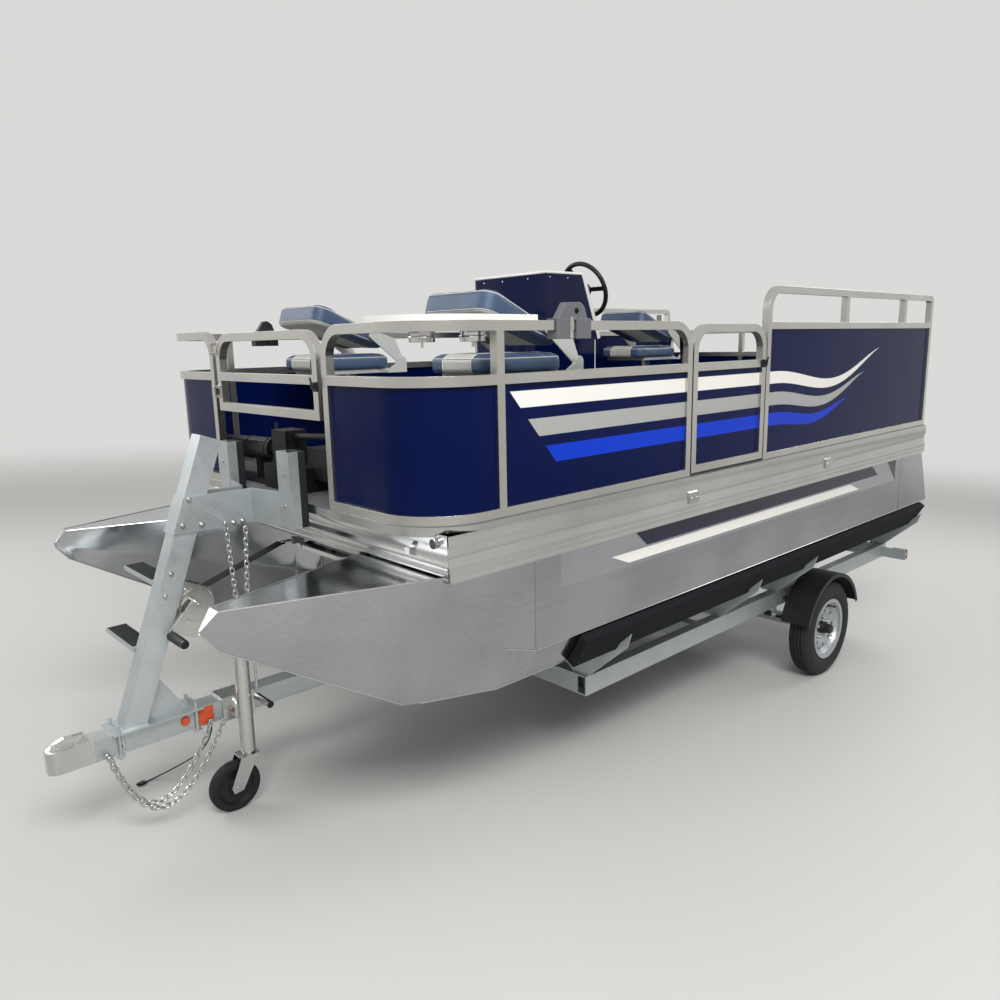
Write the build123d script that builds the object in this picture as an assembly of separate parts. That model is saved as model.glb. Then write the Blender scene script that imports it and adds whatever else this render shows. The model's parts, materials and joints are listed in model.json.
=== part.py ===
from build123d import *
import math
import os

os.makedirs("parts", exist_ok=True)

# A small fishing pontoon boat on its bunk trailer.
# Everything is modelled in the ship frame, in millimetres: x to port, y aft from the face of the
# front skirt, z up from the top of the deck. Boat and trailer stand nose down on the jack, so the
# finished parts are turned about x and set on the floor by place() at the end of this file.

# Deck and skirt
deck_length = 3800.0
skirt_half = 973.0
deck_half = skirt_half - 2.0  # the deck's capped edge stands just inside the skirt's face
deck_thick = 19.0
deck_front = -72.0            # the deck reaches this far ahead of the front skirt
edging = 4.0                  # wall of the extrusion that caps the deck's edge
edging_drop = 30.0            # its height where the deck overhangs the front skirt
seat_gap = 0.3                # clearance where one piece rests on another
skirt_height = 148.0
skirt_wall = 5.0
skirt_recess = 6.0            # depth of the polished band pressed between the beads

# Fence
tube = 31.75
fence_half = deck_half - 12.0
fence_height = 614.0
fence_front = deck_front + 2.0
fence_stern = deck_length - 4.0
mid_rail_top = 451.5
raised_top = 771.0
corner_radius = 230.0
arch_radius = 105.0
sheet = 3.0                   # thickness of the coloured panels
sheet_inset = 12.0            # from the tube's outer face to the panel's
bow_post_inner = 419.0
corner_post_y = 222.0
side_gate_front = 1272.0
side_gate_back = 1850.0
gate_gap = 8.0

# Pontoons, given by half widths about their own centre line
pontoon_x = skirt_half - 267.0
pontoon_half = 224.0
pontoon_top = -154.0
chine_z = -503.0
bottom_z = -626.0
bottom_half = 156.0
nose_y = -662.0
nose_z = -209.0
full_y = 403.0                # where the chine reaches full width
pontoon_stern = 4018.0
stern_rake = 146.0            # the top edge of the stern lies this far ahead of its foot
crease_z = -307.0
crease_depth = 34.0
crease_front = 534.0
crease_back = 3480.0

# Cross-members and risers between pontoons and deck
member_height = 76.0
member_width = 38.0
member_wall = 4.0
member_count = 9
member_first = 90.0
member_last = 3690.0
riser_width = 40.0
riser_spread = 115.0

# Trailer
rail_top = -806.0
rail_height = 84.0
rail_width = 50.0
rail_x = pontoon_x + 19.0
rail_front = 875.0
rail_back = 3900.0
tongue_half = 38.0
tongue_height = 76.0
tongue_front = -790.0
tongue_back = 1000.0
tube_wall = 5.0
axle_y = 2725.0
axle_z = -1047.0
axle_side = 50.0
tyre_radius = 264.0
tyre_width = 122.0
wheel_x = 869.0
rim_radius = 168.0
jack_x = 100.0
jack_y = -290.0
caster_y = -354.0
caster_z = -1046.0
caster_radius = 95.0
bunk_thick = 38.0
bunk_height = 140.0
bunk_front = 640.0
bunk_back = 3940.0

# Seats
seat_width = 430.0
seat_z = 440.0
cushion_thick = 70.0
back_tilt = 18.0

# Stance: the tyres and the jack's wheel touch one floor, so the whole stands nose down
wheelbase = axle_y - caster_y
nose_down = math.degrees(math.asin((tyre_radius - caster_radius) / wheelbase)
                         + math.atan2(caster_z - axle_z, wheelbase))

nodes = {}


def floor_at(y):
    """Height of the floor in the ship frame."""
    lean = math.radians(nose_down)
    return axle_z + (axle_y - y) * math.tan(lean) - tyre_radius / math.cos(lean)


def at(x, y, z):
    return Pos(x, y, z)


def block(x0, x1, y0, y1, z0, z1):
    """A box between two corners."""
    size = Box(x1 - x0, y1 - y0, z1 - z0)
    return at((x0 + x1) / 2, (y0 + y1) / 2, (z0 + z1) / 2) * size


def rod(start, end, radius):
    """A round bar between two points."""
    a, b = Vector(start), Vector(end)
    plane = Plane(origin=a, z_dir=(b - a).normalized())
    return extrude(plane * Circle(radius), (b - a).length)


def along_x(points, x0, x1):
    """A side outline of (y, z) points, pushed from x0 to x1."""
    face = Plane.YZ * make_face(Polyline(*points, close=True))
    return at(x0, 0, 0) * extrude(face, x1 - x0, dir=(1, 0, 0))


def along_y(points, y0, y1):
    """A cross outline of (x, z) points, pushed from y0 to y1."""
    face = Plane.XZ * make_face(Polyline(*points, close=True))
    return at(0, y0, 0) * extrude(face, y1 - y0, dir=(0, 1, 0))


def box_tube(start, end, side, wall, up=(0, 0, 1)):
    """A straight square tube with open ends."""
    a, b = Vector(*start), Vector(*end)
    plane = Plane(origin=a, x_dir=Vector(*up).cross(b - a).normalized(), z_dir=(b - a).normalized())
    ring = plane * (Rectangle(side, side) - Rectangle(side - 2 * wall, side - 2 * wall))
    return extrude(ring, (b - a).length)


def bent_tube(points, radii, side=tube):
    """A square tube bent along straight runs with tangent arcs."""
    path = FilletPolyline(*points, radius=radii) if radii else Line(*points)
    start = path @ 0
    heading = path % 0
    across = Vector(0, 1, 0) if abs(heading.Z) > 0.5 else Vector(0, 0, 1)
    section = Plane(origin=start, x_dir=across, z_dir=heading) * Rectangle(side, side)
    return sweep(section, path=path)


def fuse(pieces):
    """Joins welded pieces into one solid."""
    whole = pieces[0]
    for piece in pieces[1:]:
        whole = whole + piece
    return whole


def mirrored(shape):
    return mirror(shape, about=Plane.YZ)


# Pontoons: flat-bottomed boxes with bevelled bilges, drawn out to a blunt raked nose.
# Each station: y, half width of the top edge, of the chine and of the foot, and their heights.
def chine_at(y):
    share = (y - nose_y) / (full_y - nose_y)
    return 4 + share * (pontoon_half - 4), nose_z + share * (chine_z - nose_z)


def station(y, top_half, top_z, foot_half, foot_z):
    chine_half, chine_height = chine_at(min(y, full_y))
    right = [(top_half, top_z), (chine_half, chine_height), (foot_half, foot_z)]
    left = [(-x, z) for x, z in reversed(right)]
    return Polyline(*[(x, y, z) for x, z in right + left], close=True)


def pontoon():
    rim_full = 20.0
    keel_foot = -25.0
    foot_full = 280.0
    bow = [
        station(nose_y, 3.0, nose_z + 3, 3.0, nose_z - 3),
        station(nose_y + 46, 26.0, pontoon_top, 3.0, nose_z - 64),
        station(keel_foot, 212.0, pontoon_top, 30.0, bottom_z),
        station(rim_full, pontoon_half, pontoon_top, 56.0, bottom_z),
        station(foot_full, pontoon_half, pontoon_top, bottom_half, bottom_z),
        station(full_y, pontoon_half, pontoon_top, bottom_half, bottom_z),
    ]
    hull = loft([make_face(s) for s in bow], ruled=True)
    side = [(pontoon_half, pontoon_top), (pontoon_half, chine_z), (bottom_half, bottom_z)]
    outline = side + [(-x, z) for x, z in reversed(side)]
    body = along_y(outline, full_y, pontoon_stern)
    cut = along_x([(pontoon_stern - stern_rake, pontoon_top + 1),
                   (pontoon_stern + 1, pontoon_top + 1),
                   (pontoon_stern + 1, chine_z),
                   (pontoon_stern, chine_z)], -pontoon_half - 1, pontoon_half + 1)
    hull = hull + (body - cut)
    # the pressed side: above the crease the outboard plate leans inward
    wedge = along_y([(pontoon_half + 1, crease_z), (pontoon_half, crease_z),
                     (pontoon_half - crease_depth, pontoon_top + 1),
                     (pontoon_half + 1, pontoon_top + 1)], crease_front, crease_back)
    return hull - wedge


# Cross-members: channels across both pontoons, on risers welded along the pontoon tops
member_top = -deck_thick
member_foot = member_top - member_height
member_end = skirt_half - skirt_recess - skirt_wall
member_step = (member_last - member_first) / (member_count - 1)


def channel(y):
    flange = y + member_width
    web = y + member_wall
    outline = [(y, member_top), (flange, member_top), (flange, member_top - member_wall),
               (web, member_top - member_wall), (web, member_foot + member_wall),
               (flange, member_foot + member_wall), (flange, member_foot), (y, member_foot)]
    return along_x(outline, -member_end, member_end)


riser_front = 110.0
riser_back = 3740.0


def riser(x):
    half = riser_width / 2
    inner = half - member_wall
    inner_top = member_foot - member_wall
    outline = [(x - half, pontoon_top), (x - half, member_foot),
               (x + half, member_foot), (x + half, pontoon_top),
               (x + inner, pontoon_top), (x + inner, inner_top),
               (x - inner, inner_top), (x - inner, pontoon_top)]
    return along_y(outline, riser_front, riser_back)


nodes["cross_members"] = [channel(member_first + i * member_step) for i in range(member_count)]
port_pontoon = at(pontoon_x, 0, 0) * fuse([pontoon(), riser(-riser_spread), riser(riser_spread)])
nodes["pontoon_port"] = port_pontoon
nodes["pontoon_starboard"] = mirrored(port_pontoon)

# Deck panel with two rounded front corners, and the edging that caps it on three sides
def deck_plan(inset, z0, z1):
    half = deck_half - inset
    plan = block(-half, half, deck_front + inset, deck_length, z0, z1)
    corners = [e for e in plan.edges().filter_by(Axis.Z) if e.center().Y < 0]
    return fillet(corners, corner_radius - inset)


nodes["deck_panel"] = deck_plan(edging, -deck_thick, 0)
edging_ring = deck_plan(0, -edging_drop, 0) - deck_plan(edging, -edging_drop - 1, 1)
behind_front = block(-deck_half - 1, deck_half + 1, -1, deck_length + 1, -edging_drop - 1, -deck_thick)
nodes["deck_edging"] = edging_ring - behind_front

# Skirt: an extrusion with an upper band, a recessed polished band and beads
skirt_top = -deck_thick
skirt_foot = skirt_top - skirt_height
recess_top = skirt_top - 36.0
recess_foot = skirt_top - 93.0


def skirt_outline(face, wall=skirt_wall, recess=skirt_recess):
    """Outline of (outward distance, z) for a skirt whose outer face lies at face."""
    inner = face - wall
    outer = [(face, skirt_top), (face, recess_top), (face - recess, recess_top - recess),
             (face - recess, recess_foot + recess), (face, recess_foot),
             (face, recess_foot - 16), (face - 3, recess_foot - 19), (face, recess_foot - 22),
             (face, recess_foot - 36), (face - 3, recess_foot - 39), (face, recess_foot - 42),
             (face, skirt_foot)]
    back = [(inner, skirt_foot), (inner, recess_foot - recess), (inner - recess, recess_foot),
            (inner - recess, recess_top), (inner, recess_top + recess), (inner, skirt_top)]
    return outer + back


side_skirt = along_y(skirt_outline(skirt_half), 0, deck_length)
pontoon_clear = 6.0
room_half = pontoon_half + pontoon_clear
pontoon_room = [block(s * pontoon_x - room_half, s * pontoon_x + room_half, -50, deck_length + 50,
                      skirt_foot - 1, pontoon_top + pontoon_clear) for s in (-1, 1)]
# slots in the stern skirt for the two arms of the outboard bracket
transom_half = 220.0
arm_half = 4.0
arm_x = transom_half - 10
arm_room = [block(s * arm_x - arm_half - 1, s * arm_x + arm_half + 1, deck_length - 50, deck_length + 50,
                  skirt_foot - 1, member_foot + 1) for s in (-1, 1)]


def end_skirt(outline):
    """A skirt across the boat, notched over the pontoons, its ends butted to the side skirts."""
    skirt = along_x(outline, -member_end, member_end)
    for room in pontoon_room + arm_room:
        skirt = skirt - room
    return skirt


front_outline = [(-d, z) for d, z in skirt_outline(0.0)]
stern_outline = [(deck_length + d, z) for d, z in skirt_outline(0.0)]
nodes["skirts"] = [side_skirt, mirrored(side_skirt), end_skirt(front_outline), end_skirt(stern_outline)]

# Fence sections
half_tube = tube / 2
rail_side = fence_half - half_tube           # centre line of the side tubes
rail_front_y = fence_front + half_tube       # centre line of the front tubes
top_line = fence_height - half_tube
mid_line = mid_rail_top - half_tube
bottom_line = half_tube
bend = corner_radius - half_tube
arch = arch_radius - half_tube


def side_frame(y_end):
    """Bow and side section round the front corner, ending in an arch at y_end."""
    x_bow = bow_post_inner + half_tube
    y_aft = y_end - half_tube
    top = bent_tube([(x_bow, rail_front_y, 0), (x_bow, rail_front_y, top_line),
                     (rail_side, rail_front_y, top_line), (rail_side, y_aft, top_line),
                     (rail_side, y_aft, 0)], [arch, bend, arch])
    mid = bent_tube([(x_bow, rail_front_y, mid_line), (rail_side, rail_front_y, mid_line),
                     (rail_side, y_aft, mid_line)], [bend])
    low = bent_tube([(x_bow, rail_front_y, bottom_line), (rail_side, rail_front_y, bottom_line),
                     (rail_side, y_aft, bottom_line)], [bend])
    post = block(fence_half - tube, fence_half, corner_post_y, corner_post_y + tube, bottom_line, top_line)
    return fuse([top, mid, low, post])


def rear_frame():
    """Raised side section beside the helm."""
    y0 = side_gate_back + half_tube
    y1 = fence_stern - half_tube
    x = rail_side
    top = raised_top - half_tube
    hoop = bent_tube([(x, y0, 0), (x, y0, top), (x, y1, top), (x, y1, 0)], [arch, 24.0])
    rails = [block(fence_half - tube, fence_half, y0, y1, z - half_tube, z + half_tube)
             for z in (bottom_line, top_line)]
    posts = [block(fence_half - tube, fence_half, y - half_tube, y + half_tube, top_line, top)
             for y in (2640.0, 3380.0)]
    return fuse([hoop] + rails + posts)


section_gap = 2.0
port_forward_frame = side_frame(side_gate_front)
starboard_forward_frame = mirrored(side_frame(side_gate_back - section_gap))
stern_in = fence_half - tube - section_gap
stern_post_x = 300.0


def stern_frame():
    y = fence_stern - half_tube
    x = stern_in - half_tube
    hoop = bent_tube([(-x, y, 0), (-x, y, top_line), (x, y, top_line), (x, y, 0)], [arch, arch])
    rails = [block(-x, x, y - half_tube, y + half_tube, z - half_tube, z + half_tube)
             for z in (bottom_line, mid_line)]
    posts = [block(p - half_tube, p + half_tube, y - half_tube, y + half_tube, bottom_line, top_line)
             for p in (-stern_post_x, stern_post_x)]
    return fuse([hoop] + rails + posts)


nodes["fence_stern"] = stern_frame()

# Coloured panels set inside the tube frames
panel_face = fence_half - sheet_inset
panel_foot = tube
panel_head = mid_rail_top - tube


def flat_panel(y0, y1, z0, z1):
    return block(panel_face - sheet, panel_face, y0, y1, z0, z1)


def corner_panel():
    outer_r = corner_radius - sheet_inset
    cx, cy = fence_half - corner_radius, fence_front + corner_radius
    x0 = bow_post_inner + tube
    y1 = corner_post_y
    outer = [Line((x0, cy - outer_r), (cx, cy - outer_r)),
             CenterArc((cx, cy), outer_r, -90, 90),
             Line((cx + outer_r, cy), (cx + outer_r, y1))]
    inner_r = outer_r - sheet
    inner = [Line((cx + inner_r, y1), (cx + inner_r, cy)),
             CenterArc((cx, cy), inner_r, 0, -90),
             Line((cx, cy - inner_r), (x0, cy - inner_r))]
    caps = [Line((cx + outer_r, y1), (cx + inner_r, y1)), Line((x0, cy - inner_r), (x0, cy - outer_r))]
    face = make_face(Wire(outer + [caps[0]] + inner + [caps[1]]))
    return at(0, 0, panel_foot) * extrude(face, panel_head - panel_foot)


y_after_post = corner_post_y + tube
rear_head = fence_height - tube
rear_panel = flat_panel(side_gate_back + tube, fence_stern - tube, panel_foot, rear_head)
port_forward = flat_panel(y_after_post, side_gate_front - tube, panel_foot, panel_head)
starboard_forward = flat_panel(y_after_post, side_gate_back - section_gap - tube, panel_foot, panel_head)
side_panels = [corner_panel(), port_forward, rear_panel]
side_panels += [mirrored(p) for p in (corner_panel(), starboard_forward, rear_panel)]
stern_face = fence_stern - sheet_inset
stern_edges = [(-stern_in + tube, -stern_post_x - half_tube),
               (-stern_post_x + half_tube, stern_post_x - half_tube),
               (stern_post_x + half_tube, stern_in - tube)]
stern_panels = [block(a, b, stern_face - sheet, stern_face, panel_foot, panel_head) for a, b in stern_edges]
nodes["panels"] = side_panels + stern_panels

# Gate hinges: a fixed ring on the post, and two knuckles with a pin on the gate.
# Both halves are drawn with the pin at the origin, the post towards -y, the gate towards +y and
# the faces they are screwed to at x = hinge_offset. gap is the room between post and gate.
knuckle_radius = 8.0
hinge_pin = 4.0
pin_clearance = 0.05
ring_height = 24.0
knuckle_height = 12.0
hinge_offset = 12.0
leaf = 4.0
leaf_length = 14.0


def hinge_leaf(gap, low, high):
    near = knuckle_radius - 3
    web = block(-leaf, hinge_offset, near, knuckle_radius + leaf, low, high)
    return web + block(hinge_offset - leaf, hinge_offset, near, gap / 2 + leaf_length, low, high)


def hinge_ring(gap):
    half = ring_height / 2
    flipped = mirror(hinge_leaf(gap, -half, half), about=Plane.XZ)
    ring = rod((0, 0, -half), (0, 0, half), knuckle_radius) + flipped
    return ring - rod((0, 0, -ring_height), (0, 0, ring_height), hinge_pin + pin_clearance)


def hinge_knuckles(gap):
    start = ring_height / 2 + 1
    end = start + knuckle_height
    pieces = [rod((0, 0, -end), (0, 0, end), hinge_pin)]
    for low, high in ((-end, -start), (start, end)):
        pieces.append(rod((0, 0, low), (0, 0, high), knuckle_radius))
        pieces.append(hinge_leaf(gap, low, high))
    return fuse(pieces)


# Side gate, hinged inward on the forward section's aft post
gate_y0 = side_gate_front + gate_gap
gate_y1 = side_gate_back - gate_gap
gate_foot = 12.0
gate_top = fence_height - 10.0
gate_mid = mid_line
side_pin_x = fence_half - tube - hinge_offset
side_pin_y = side_gate_front + gate_gap / 2
side_hinges = (110.0, 500.0)


def side_gate():
    a, b = gate_y0 + half_tube, gate_y1 - half_tube
    foot = gate_foot + half_tube
    hoop = bent_tube([(rail_side, a, gate_foot), (rail_side, a, gate_top - half_tube),
                      (rail_side, b, gate_top - half_tube), (rail_side, b, gate_foot)], [arch, arch])
    bars = [block(fence_half - tube, fence_half, a, b, z - half_tube, z + half_tube)
            for z in (foot, gate_mid)]
    knuckles = [at(side_pin_x, side_pin_y, z) * hinge_knuckles(gate_gap) for z in side_hinges]
    return fuse([hoop] + bars + knuckles)


nodes["side_gate_frame"] = side_gate()
nodes["side_gate_panel"] = block(panel_face - sheet, panel_face, gate_y0 + tube, gate_y1 - tube,
                                 gate_foot + tube, panel_head)

# Bow gate: a half-height gate between the two bow posts, hinged outward on the starboard post
bow_gate_half = 390.0
bow_gate_foot = 300.0
bow_gap = bow_post_inner - bow_gate_half
bow_pin_x = -bow_gate_half - bow_gap / 2
bow_pin_y = fence_front - hinge_offset
bow_hinges = (375.0, 545.0)
swap_xy = Plane(origin=(0, 0, 0), z_dir=(1, -1, 0))


def bow_gate():
    a = bow_gate_half - half_tube
    y = rail_front_y
    hoop = bent_tube([(-a, y, bow_gate_foot), (-a, y, gate_top - half_tube),
                      (a, y, gate_top - half_tube), (a, y, bow_gate_foot)], [arch, arch])
    bars = [block(-a, a, y - half_tube, y + half_tube, z - half_tube, z + half_tube)
            for z in (bow_gate_foot + half_tube, mid_line)]
    knuckles = [at(bow_pin_x, bow_pin_y, z) * mirror(hinge_knuckles(bow_gap), about=swap_xy)
                for z in bow_hinges]
    return fuse([hoop] + bars + knuckles)


nodes["bow_gate_frame"] = bow_gate()
port_rings = [at(side_pin_x, side_pin_y, z) * hinge_ring(gate_gap) for z in side_hinges]
bow_rings = [at(bow_pin_x, bow_pin_y, z) * mirror(hinge_ring(bow_gap), about=swap_xy) for z in bow_hinges]
nodes["fence_port"] = [fuse([port_forward_frame] + port_rings), rear_frame()]
nodes["fence_starboard"] = [fuse([starboard_forward_frame] + bow_rings), mirrored(rear_frame())]

# Console: a shell rounded about its front, with a top that rises aft and a dash that slopes back
console_x0 = 54.0 - fence_half
console_x1 = console_x0 + 425.0
console_y0 = 1750.0
console_back = 2380.0
console_front_top = 921.0
dash_high = Vector(0, 2275.0, 946.0)
dash_low = Vector(0, 2426.0, 565.0)
console_rise = 210.0          # run of the rising part of the top
round_inboard = 200.0         # radius of the front corner beside the walkway
round_outboard = 60.0


def console():
    profile = [(console_y0, 0), (console_y0, console_front_top), (console_y0 + console_rise, dash_high.Z),
               (dash_high.Y, dash_high.Z), (dash_low.Y, dash_low.Z),
               (console_back, dash_low.Z - 8), (console_back, 0)]
    plan = block(console_x0, console_x1, console_y0, dash_low.Y + 1, -1, dash_high.Z + 1)
    for x, radius in ((console_x1, round_inboard), (console_x0, round_outboard)):
        corner = [e for e in plan.edges().filter_by(Axis.Z)
                  if abs(e.center().X - x) < 1 and e.center().Y < console_y0 + 1]
        plan = fillet(corner, radius)
    return plan & along_x(profile, console_x0 - 1, console_x1 + 1)


# Steering wheel on a short column out of the sloped dash
dash_dir = (dash_high - dash_low).normalized()
dash_out = Vector(0, dash_dir.Z, -dash_dir.Y)
wheel_x_mid = console_x1 - 140.0
wheel_drop = 0.34             # share of the dash's slope above the column
wheel_seat = Vector(wheel_x_mid, 0, 0) + dash_low * wheel_drop + dash_high * (1 - wheel_drop)
column_length = 92.0
column_radius = 38.0
wheel_stub = 30.0
wheel_radius = 165.0
helm_centre = wheel_seat + dash_out * (column_length + wheel_stub)
column = rod(wheel_seat - dash_out, wheel_seat + dash_out * column_length, column_radius)
nodes["console"] = console() + column


def helm_wheel():
    plane = Plane(origin=helm_centre, z_dir=dash_out)
    ring = plane * Torus(wheel_radius, 14)
    hub = plane * Cylinder(45, 24)
    spokes = [plane * Rot(0, 0, a) * at(95, 0, 0) * Box(130, 26, 8) for a in (90, 210, 330)]
    start = wheel_seat + dash_out * (column_length + seat_gap)
    stub = rod(start, start + dash_out * wheel_stub, 16)
    return fuse([ring, hub, stub] + spokes)


nodes["helm_wheel"] = helm_wheel()

# Seats: a pedestal, a swivelling pan with its cushion, and a back folded down over it.
# Places are the pedestals' x and y. The seats face the bow.
seat_places = {"port": (554.0, 653.0), "starboard": (-554.0, 653.0), "helm": (-520.0, 2930.0)}
pan_thick = 20.0
pedestal_radius = 36.0
arm_thick = 7.0
ear_thick = 8.0
running_gap = 6.0
pin_radius = 6.0
hinge_back = 165.0            # from the pedestal to the hinge line
hinge_z = seat_z + 32.0
cushion_front = 275.0
cushion_back = 150.0
pad_half = seat_width / 2 - running_gap - ear_thick - arm_thick - 1.0
arm_inner = pad_half
ear_inner = arm_inner + arm_thick + running_gap
cushion_half = pad_half - running_gap
back_thick = 95.0
back_rise = 30.0              # the pad's underside above the hinge line when folded flat
back_start = 75.0             # the pad's near edge, ahead of the hinge line
back_length = 410.0
arm_reach = 200.0
ear_round = 22.0


def cushion(x, y):
    pad = block(x - cushion_half, x + cushion_half, y - cushion_front, y + cushion_back,
                seat_z, seat_z + cushion_thick)
    pad = fillet(pad.edges().filter_by(Axis.Z), 60)
    return fillet(pad.faces().sort_by(Axis.Z)[-1].edges(), 18)


def seat_pan(x, y):
    top = block(x - 150, x + 150, y - 200, y + 130, seat_z - pan_thick, seat_z)
    bridge = block(x - ear_inner - ear_thick, x + ear_inner + ear_thick, y + 80, y + 175,
                   seat_z - pan_thick, seat_z - 8)
    pieces = [top, bridge]
    for s in (-1, 1):
        mid = x + s * (ear_inner + ear_thick / 2)
        ear = along_x([(y + 90, seat_z - pan_thick), (y + hinge_back + ear_round, seat_z - pan_thick),
                       (y + hinge_back + ear_round, hinge_z), (y + hinge_back - ear_round, hinge_z),
                       (y + 90, seat_z)], mid - ear_thick / 2, mid + ear_thick / 2)
        hinge_y = y + hinge_back
        boss = rod((mid - ear_thick / 2, hinge_y, hinge_z), (mid + ear_thick / 2, hinge_y, hinge_z),
                   ear_round)
        pin = rod((x + s * (arm_inner + 1), hinge_y, hinge_z), (mid, hinge_y, hinge_z), pin_radius)
        pieces += [ear, boss, pin]
    return fuse(pieces)


def folded(x, y, shape):
    """Sets a piece drawn flat, with the hinge line as its origin, into the folded place."""
    return at(x, y + hinge_back, hinge_z) * Rot(-back_tilt, 0, 0) * shape


def back_pad():
    far = back_start + back_length
    pad = block(-pad_half, pad_half, -far, -back_start, back_rise, back_rise + back_thick)
    pad = fillet(pad.edges().filter_by(Axis.Z), 70)
    return fillet(pad.faces().sort_by(Axis.Z)[-1].edges(), 22)


def back_arm(side):
    inner = side * arm_inner
    outer = side * (arm_inner + arm_thick)
    x0, x1 = min(inner, outer), max(inner, outer)
    outline = [(ear_round, 0), (-60, back_rise + 60), (-arm_reach, back_rise + 60),
               (-arm_reach, back_rise + 25), (-ear_round, -8)]
    arm = along_x(outline, x0, x1) + rod((x0, 0, 0), (x1, 0, 0), ear_round)
    return arm - rod((x0 - 1, 0, 0), (x1 + 1, 0, 0), pin_radius + pin_clearance)


pedestals = []
for name, (sx, sy) in seat_places.items():
    post = rod((sx, sy, 0), (sx, sy, seat_z - pan_thick - seat_gap), pedestal_radius)
    pedestals.append(fuse([post, rod((sx, sy, 0), (sx, sy, 14), 115)]))
    nodes["seat_pan_" + name] = seat_pan(sx, sy)
    nodes["seat_cushion_" + name] = at(0, 0, seat_gap) * cushion(sx, sy)
    nodes["seat_back_" + name] = folded(sx, sy, back_pad())
    nodes["seat_arms_" + name] = [folded(sx, sy, back_arm(s)) for s in (-1, 1)]
nodes["seat_pedestals"] = pedestals

# Trailer frame: a tongue and cross-members of hollow tube between two side rails
rail_foot = rail_top - rail_height
tongue_top = rail_top + tongue_height
tongue_mid = rail_top + tongue_height / 2
cross_width = 60.0
cross_places = (rail_front, 1700.0, 2900.0, rail_back - cross_width)


def frame():
    tongue = box_tube((0, tongue_front, tongue_mid), (0, tongue_back, tongue_mid), tongue_height, tube_wall)
    solid, hollow = [], []
    for y in cross_places:
        solid.append(block(-rail_x, rail_x, y, y + cross_width, rail_foot, rail_top))
        hollow.append(block(-rail_x, rail_x, y + tube_wall, y + cross_width - tube_wall,
                            rail_foot + tube_wall, rail_top - tube_wall))
    for s in (-1, 1):
        x0, x1 = s * rail_x - rail_width / 2, s * rail_x + rail_width / 2
        solid.append(block(x0, x1, rail_front, rail_back, rail_foot, rail_top))
        hollow.append(block(x0 + tube_wall, x1 - tube_wall, rail_front - 1, rail_back + 1,
                            rail_foot + tube_wall, rail_top - tube_wall))
    return fuse(solid) - fuse(hollow) + tongue


nodes["trailer_frame"] = frame()

# Bunks: carpeted boards on edge in V brackets, one against each bilge of each pontoon
bilge_lean = math.atan2(pontoon_half - bottom_half, chine_z - bottom_z)
bilge_mid_x = (pontoon_half + bottom_half) / 2
bilge_mid_z = (chine_z + bottom_z) / 2


def bunk_board(side, grow=0.0):
    """A board along the bilge of the port pontoon, on its outboard (1) or inboard (-1) side."""
    board = Box(bunk_thick + 2 * grow, bunk_back - bunk_front, bunk_height + 2 * grow)
    lean = side * math.degrees(bilge_lean)
    offset = bunk_thick / 2 + seat_gap
    x = pontoon_x + side * (bilge_mid_x + offset * math.cos(bilge_lean))
    z = bilge_mid_z - offset * math.sin(bilge_lean) - 8
    x += side * -8 * math.tan(bilge_lean)
    return at(x, (bunk_front + bunk_back) / 2, z) * Rot(0, lean, 0) * board


port_boards = [bunk_board(1), bunk_board(-1)]
nodes["bunks"] = port_boards + [mirrored(b) for b in port_boards]
bracket_places = (890.0, 1880.0, 2440.0, 3860.0)
bracket_wall = 6.0


def bunk_bracket(y):
    """A plate on the side rail, cut to a V that carries both boards of one pontoon."""
    foot_z = bilge_mid_z - bunk_height / 2 - 24
    reach = bilge_mid_x + bunk_thick + 14
    tip = pontoon_x + reach + 20
    points = [(rail_x - 60, rail_top), (rail_x + 25, rail_top), (pontoon_x + reach, foot_z + 30),
              (tip, bilge_mid_z), (2 * pontoon_x - tip, bilge_mid_z), (pontoon_x - reach, foot_z + 30)]
    plate = along_y(points, y, y + bracket_wall)
    top_half, foot_half = pontoon_half + 40, bottom_half + 10
    hull = [(pontoon_x - top_half, bilge_mid_z + 1), (pontoon_x + top_half, bilge_mid_z + 1),
            (pontoon_x + foot_half, bottom_z - 30), (pontoon_x - foot_half, bottom_z - 30)]
    plate = plate - along_y(hull, y - 1, y + bracket_wall + 1)
    for side in (-1, 1):
        plate = plate - bunk_board(side, seat_gap)
    return plate


nodes["bunk_brackets"] = [shape for y in bracket_places
                          for shape in (bunk_bracket(y), mirrored(bunk_bracket(y)))]

# Suspension: three leaves over each end of the axle, their eyes bolted in hangers under the rail
spring_half = 300.0
spring_width = 45.0
leaf_thick = 7.0
leaf_shares = (1.0, 0.72, 0.44)
eye_radius = 14.0
eye_bolt = 7.0
spring_rise = 70.0
axle_top = axle_z + axle_side / 2
spring_low = axle_top + 6.0 + leaf_thick * (len(leaf_shares) - 1)
spring_radius = (spring_half ** 2 + spring_rise ** 2) / (2 * spring_rise)
eye_z = spring_low + spring_rise + leaf_thick / 2
hanger_wall = 5.0


def arc_band(centre, inner, outer, start, sweep_angle, x0, x1):
    """A curved plate: a band between two radii about a (y, z) centre, pushed from x0 to x1."""
    out = CenterArc(centre, outer, start, sweep_angle)
    back = CenterArc(centre, inner, start + sweep_angle, -sweep_angle)
    face = Plane.YZ * make_face(Wire([out, Line(out @ 1, back @ 0), back, Line(back @ 1, out @ 0)]))
    return at(x0, 0, 0) * extrude(face, x1 - x0, dir=(1, 0, 0))


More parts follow.
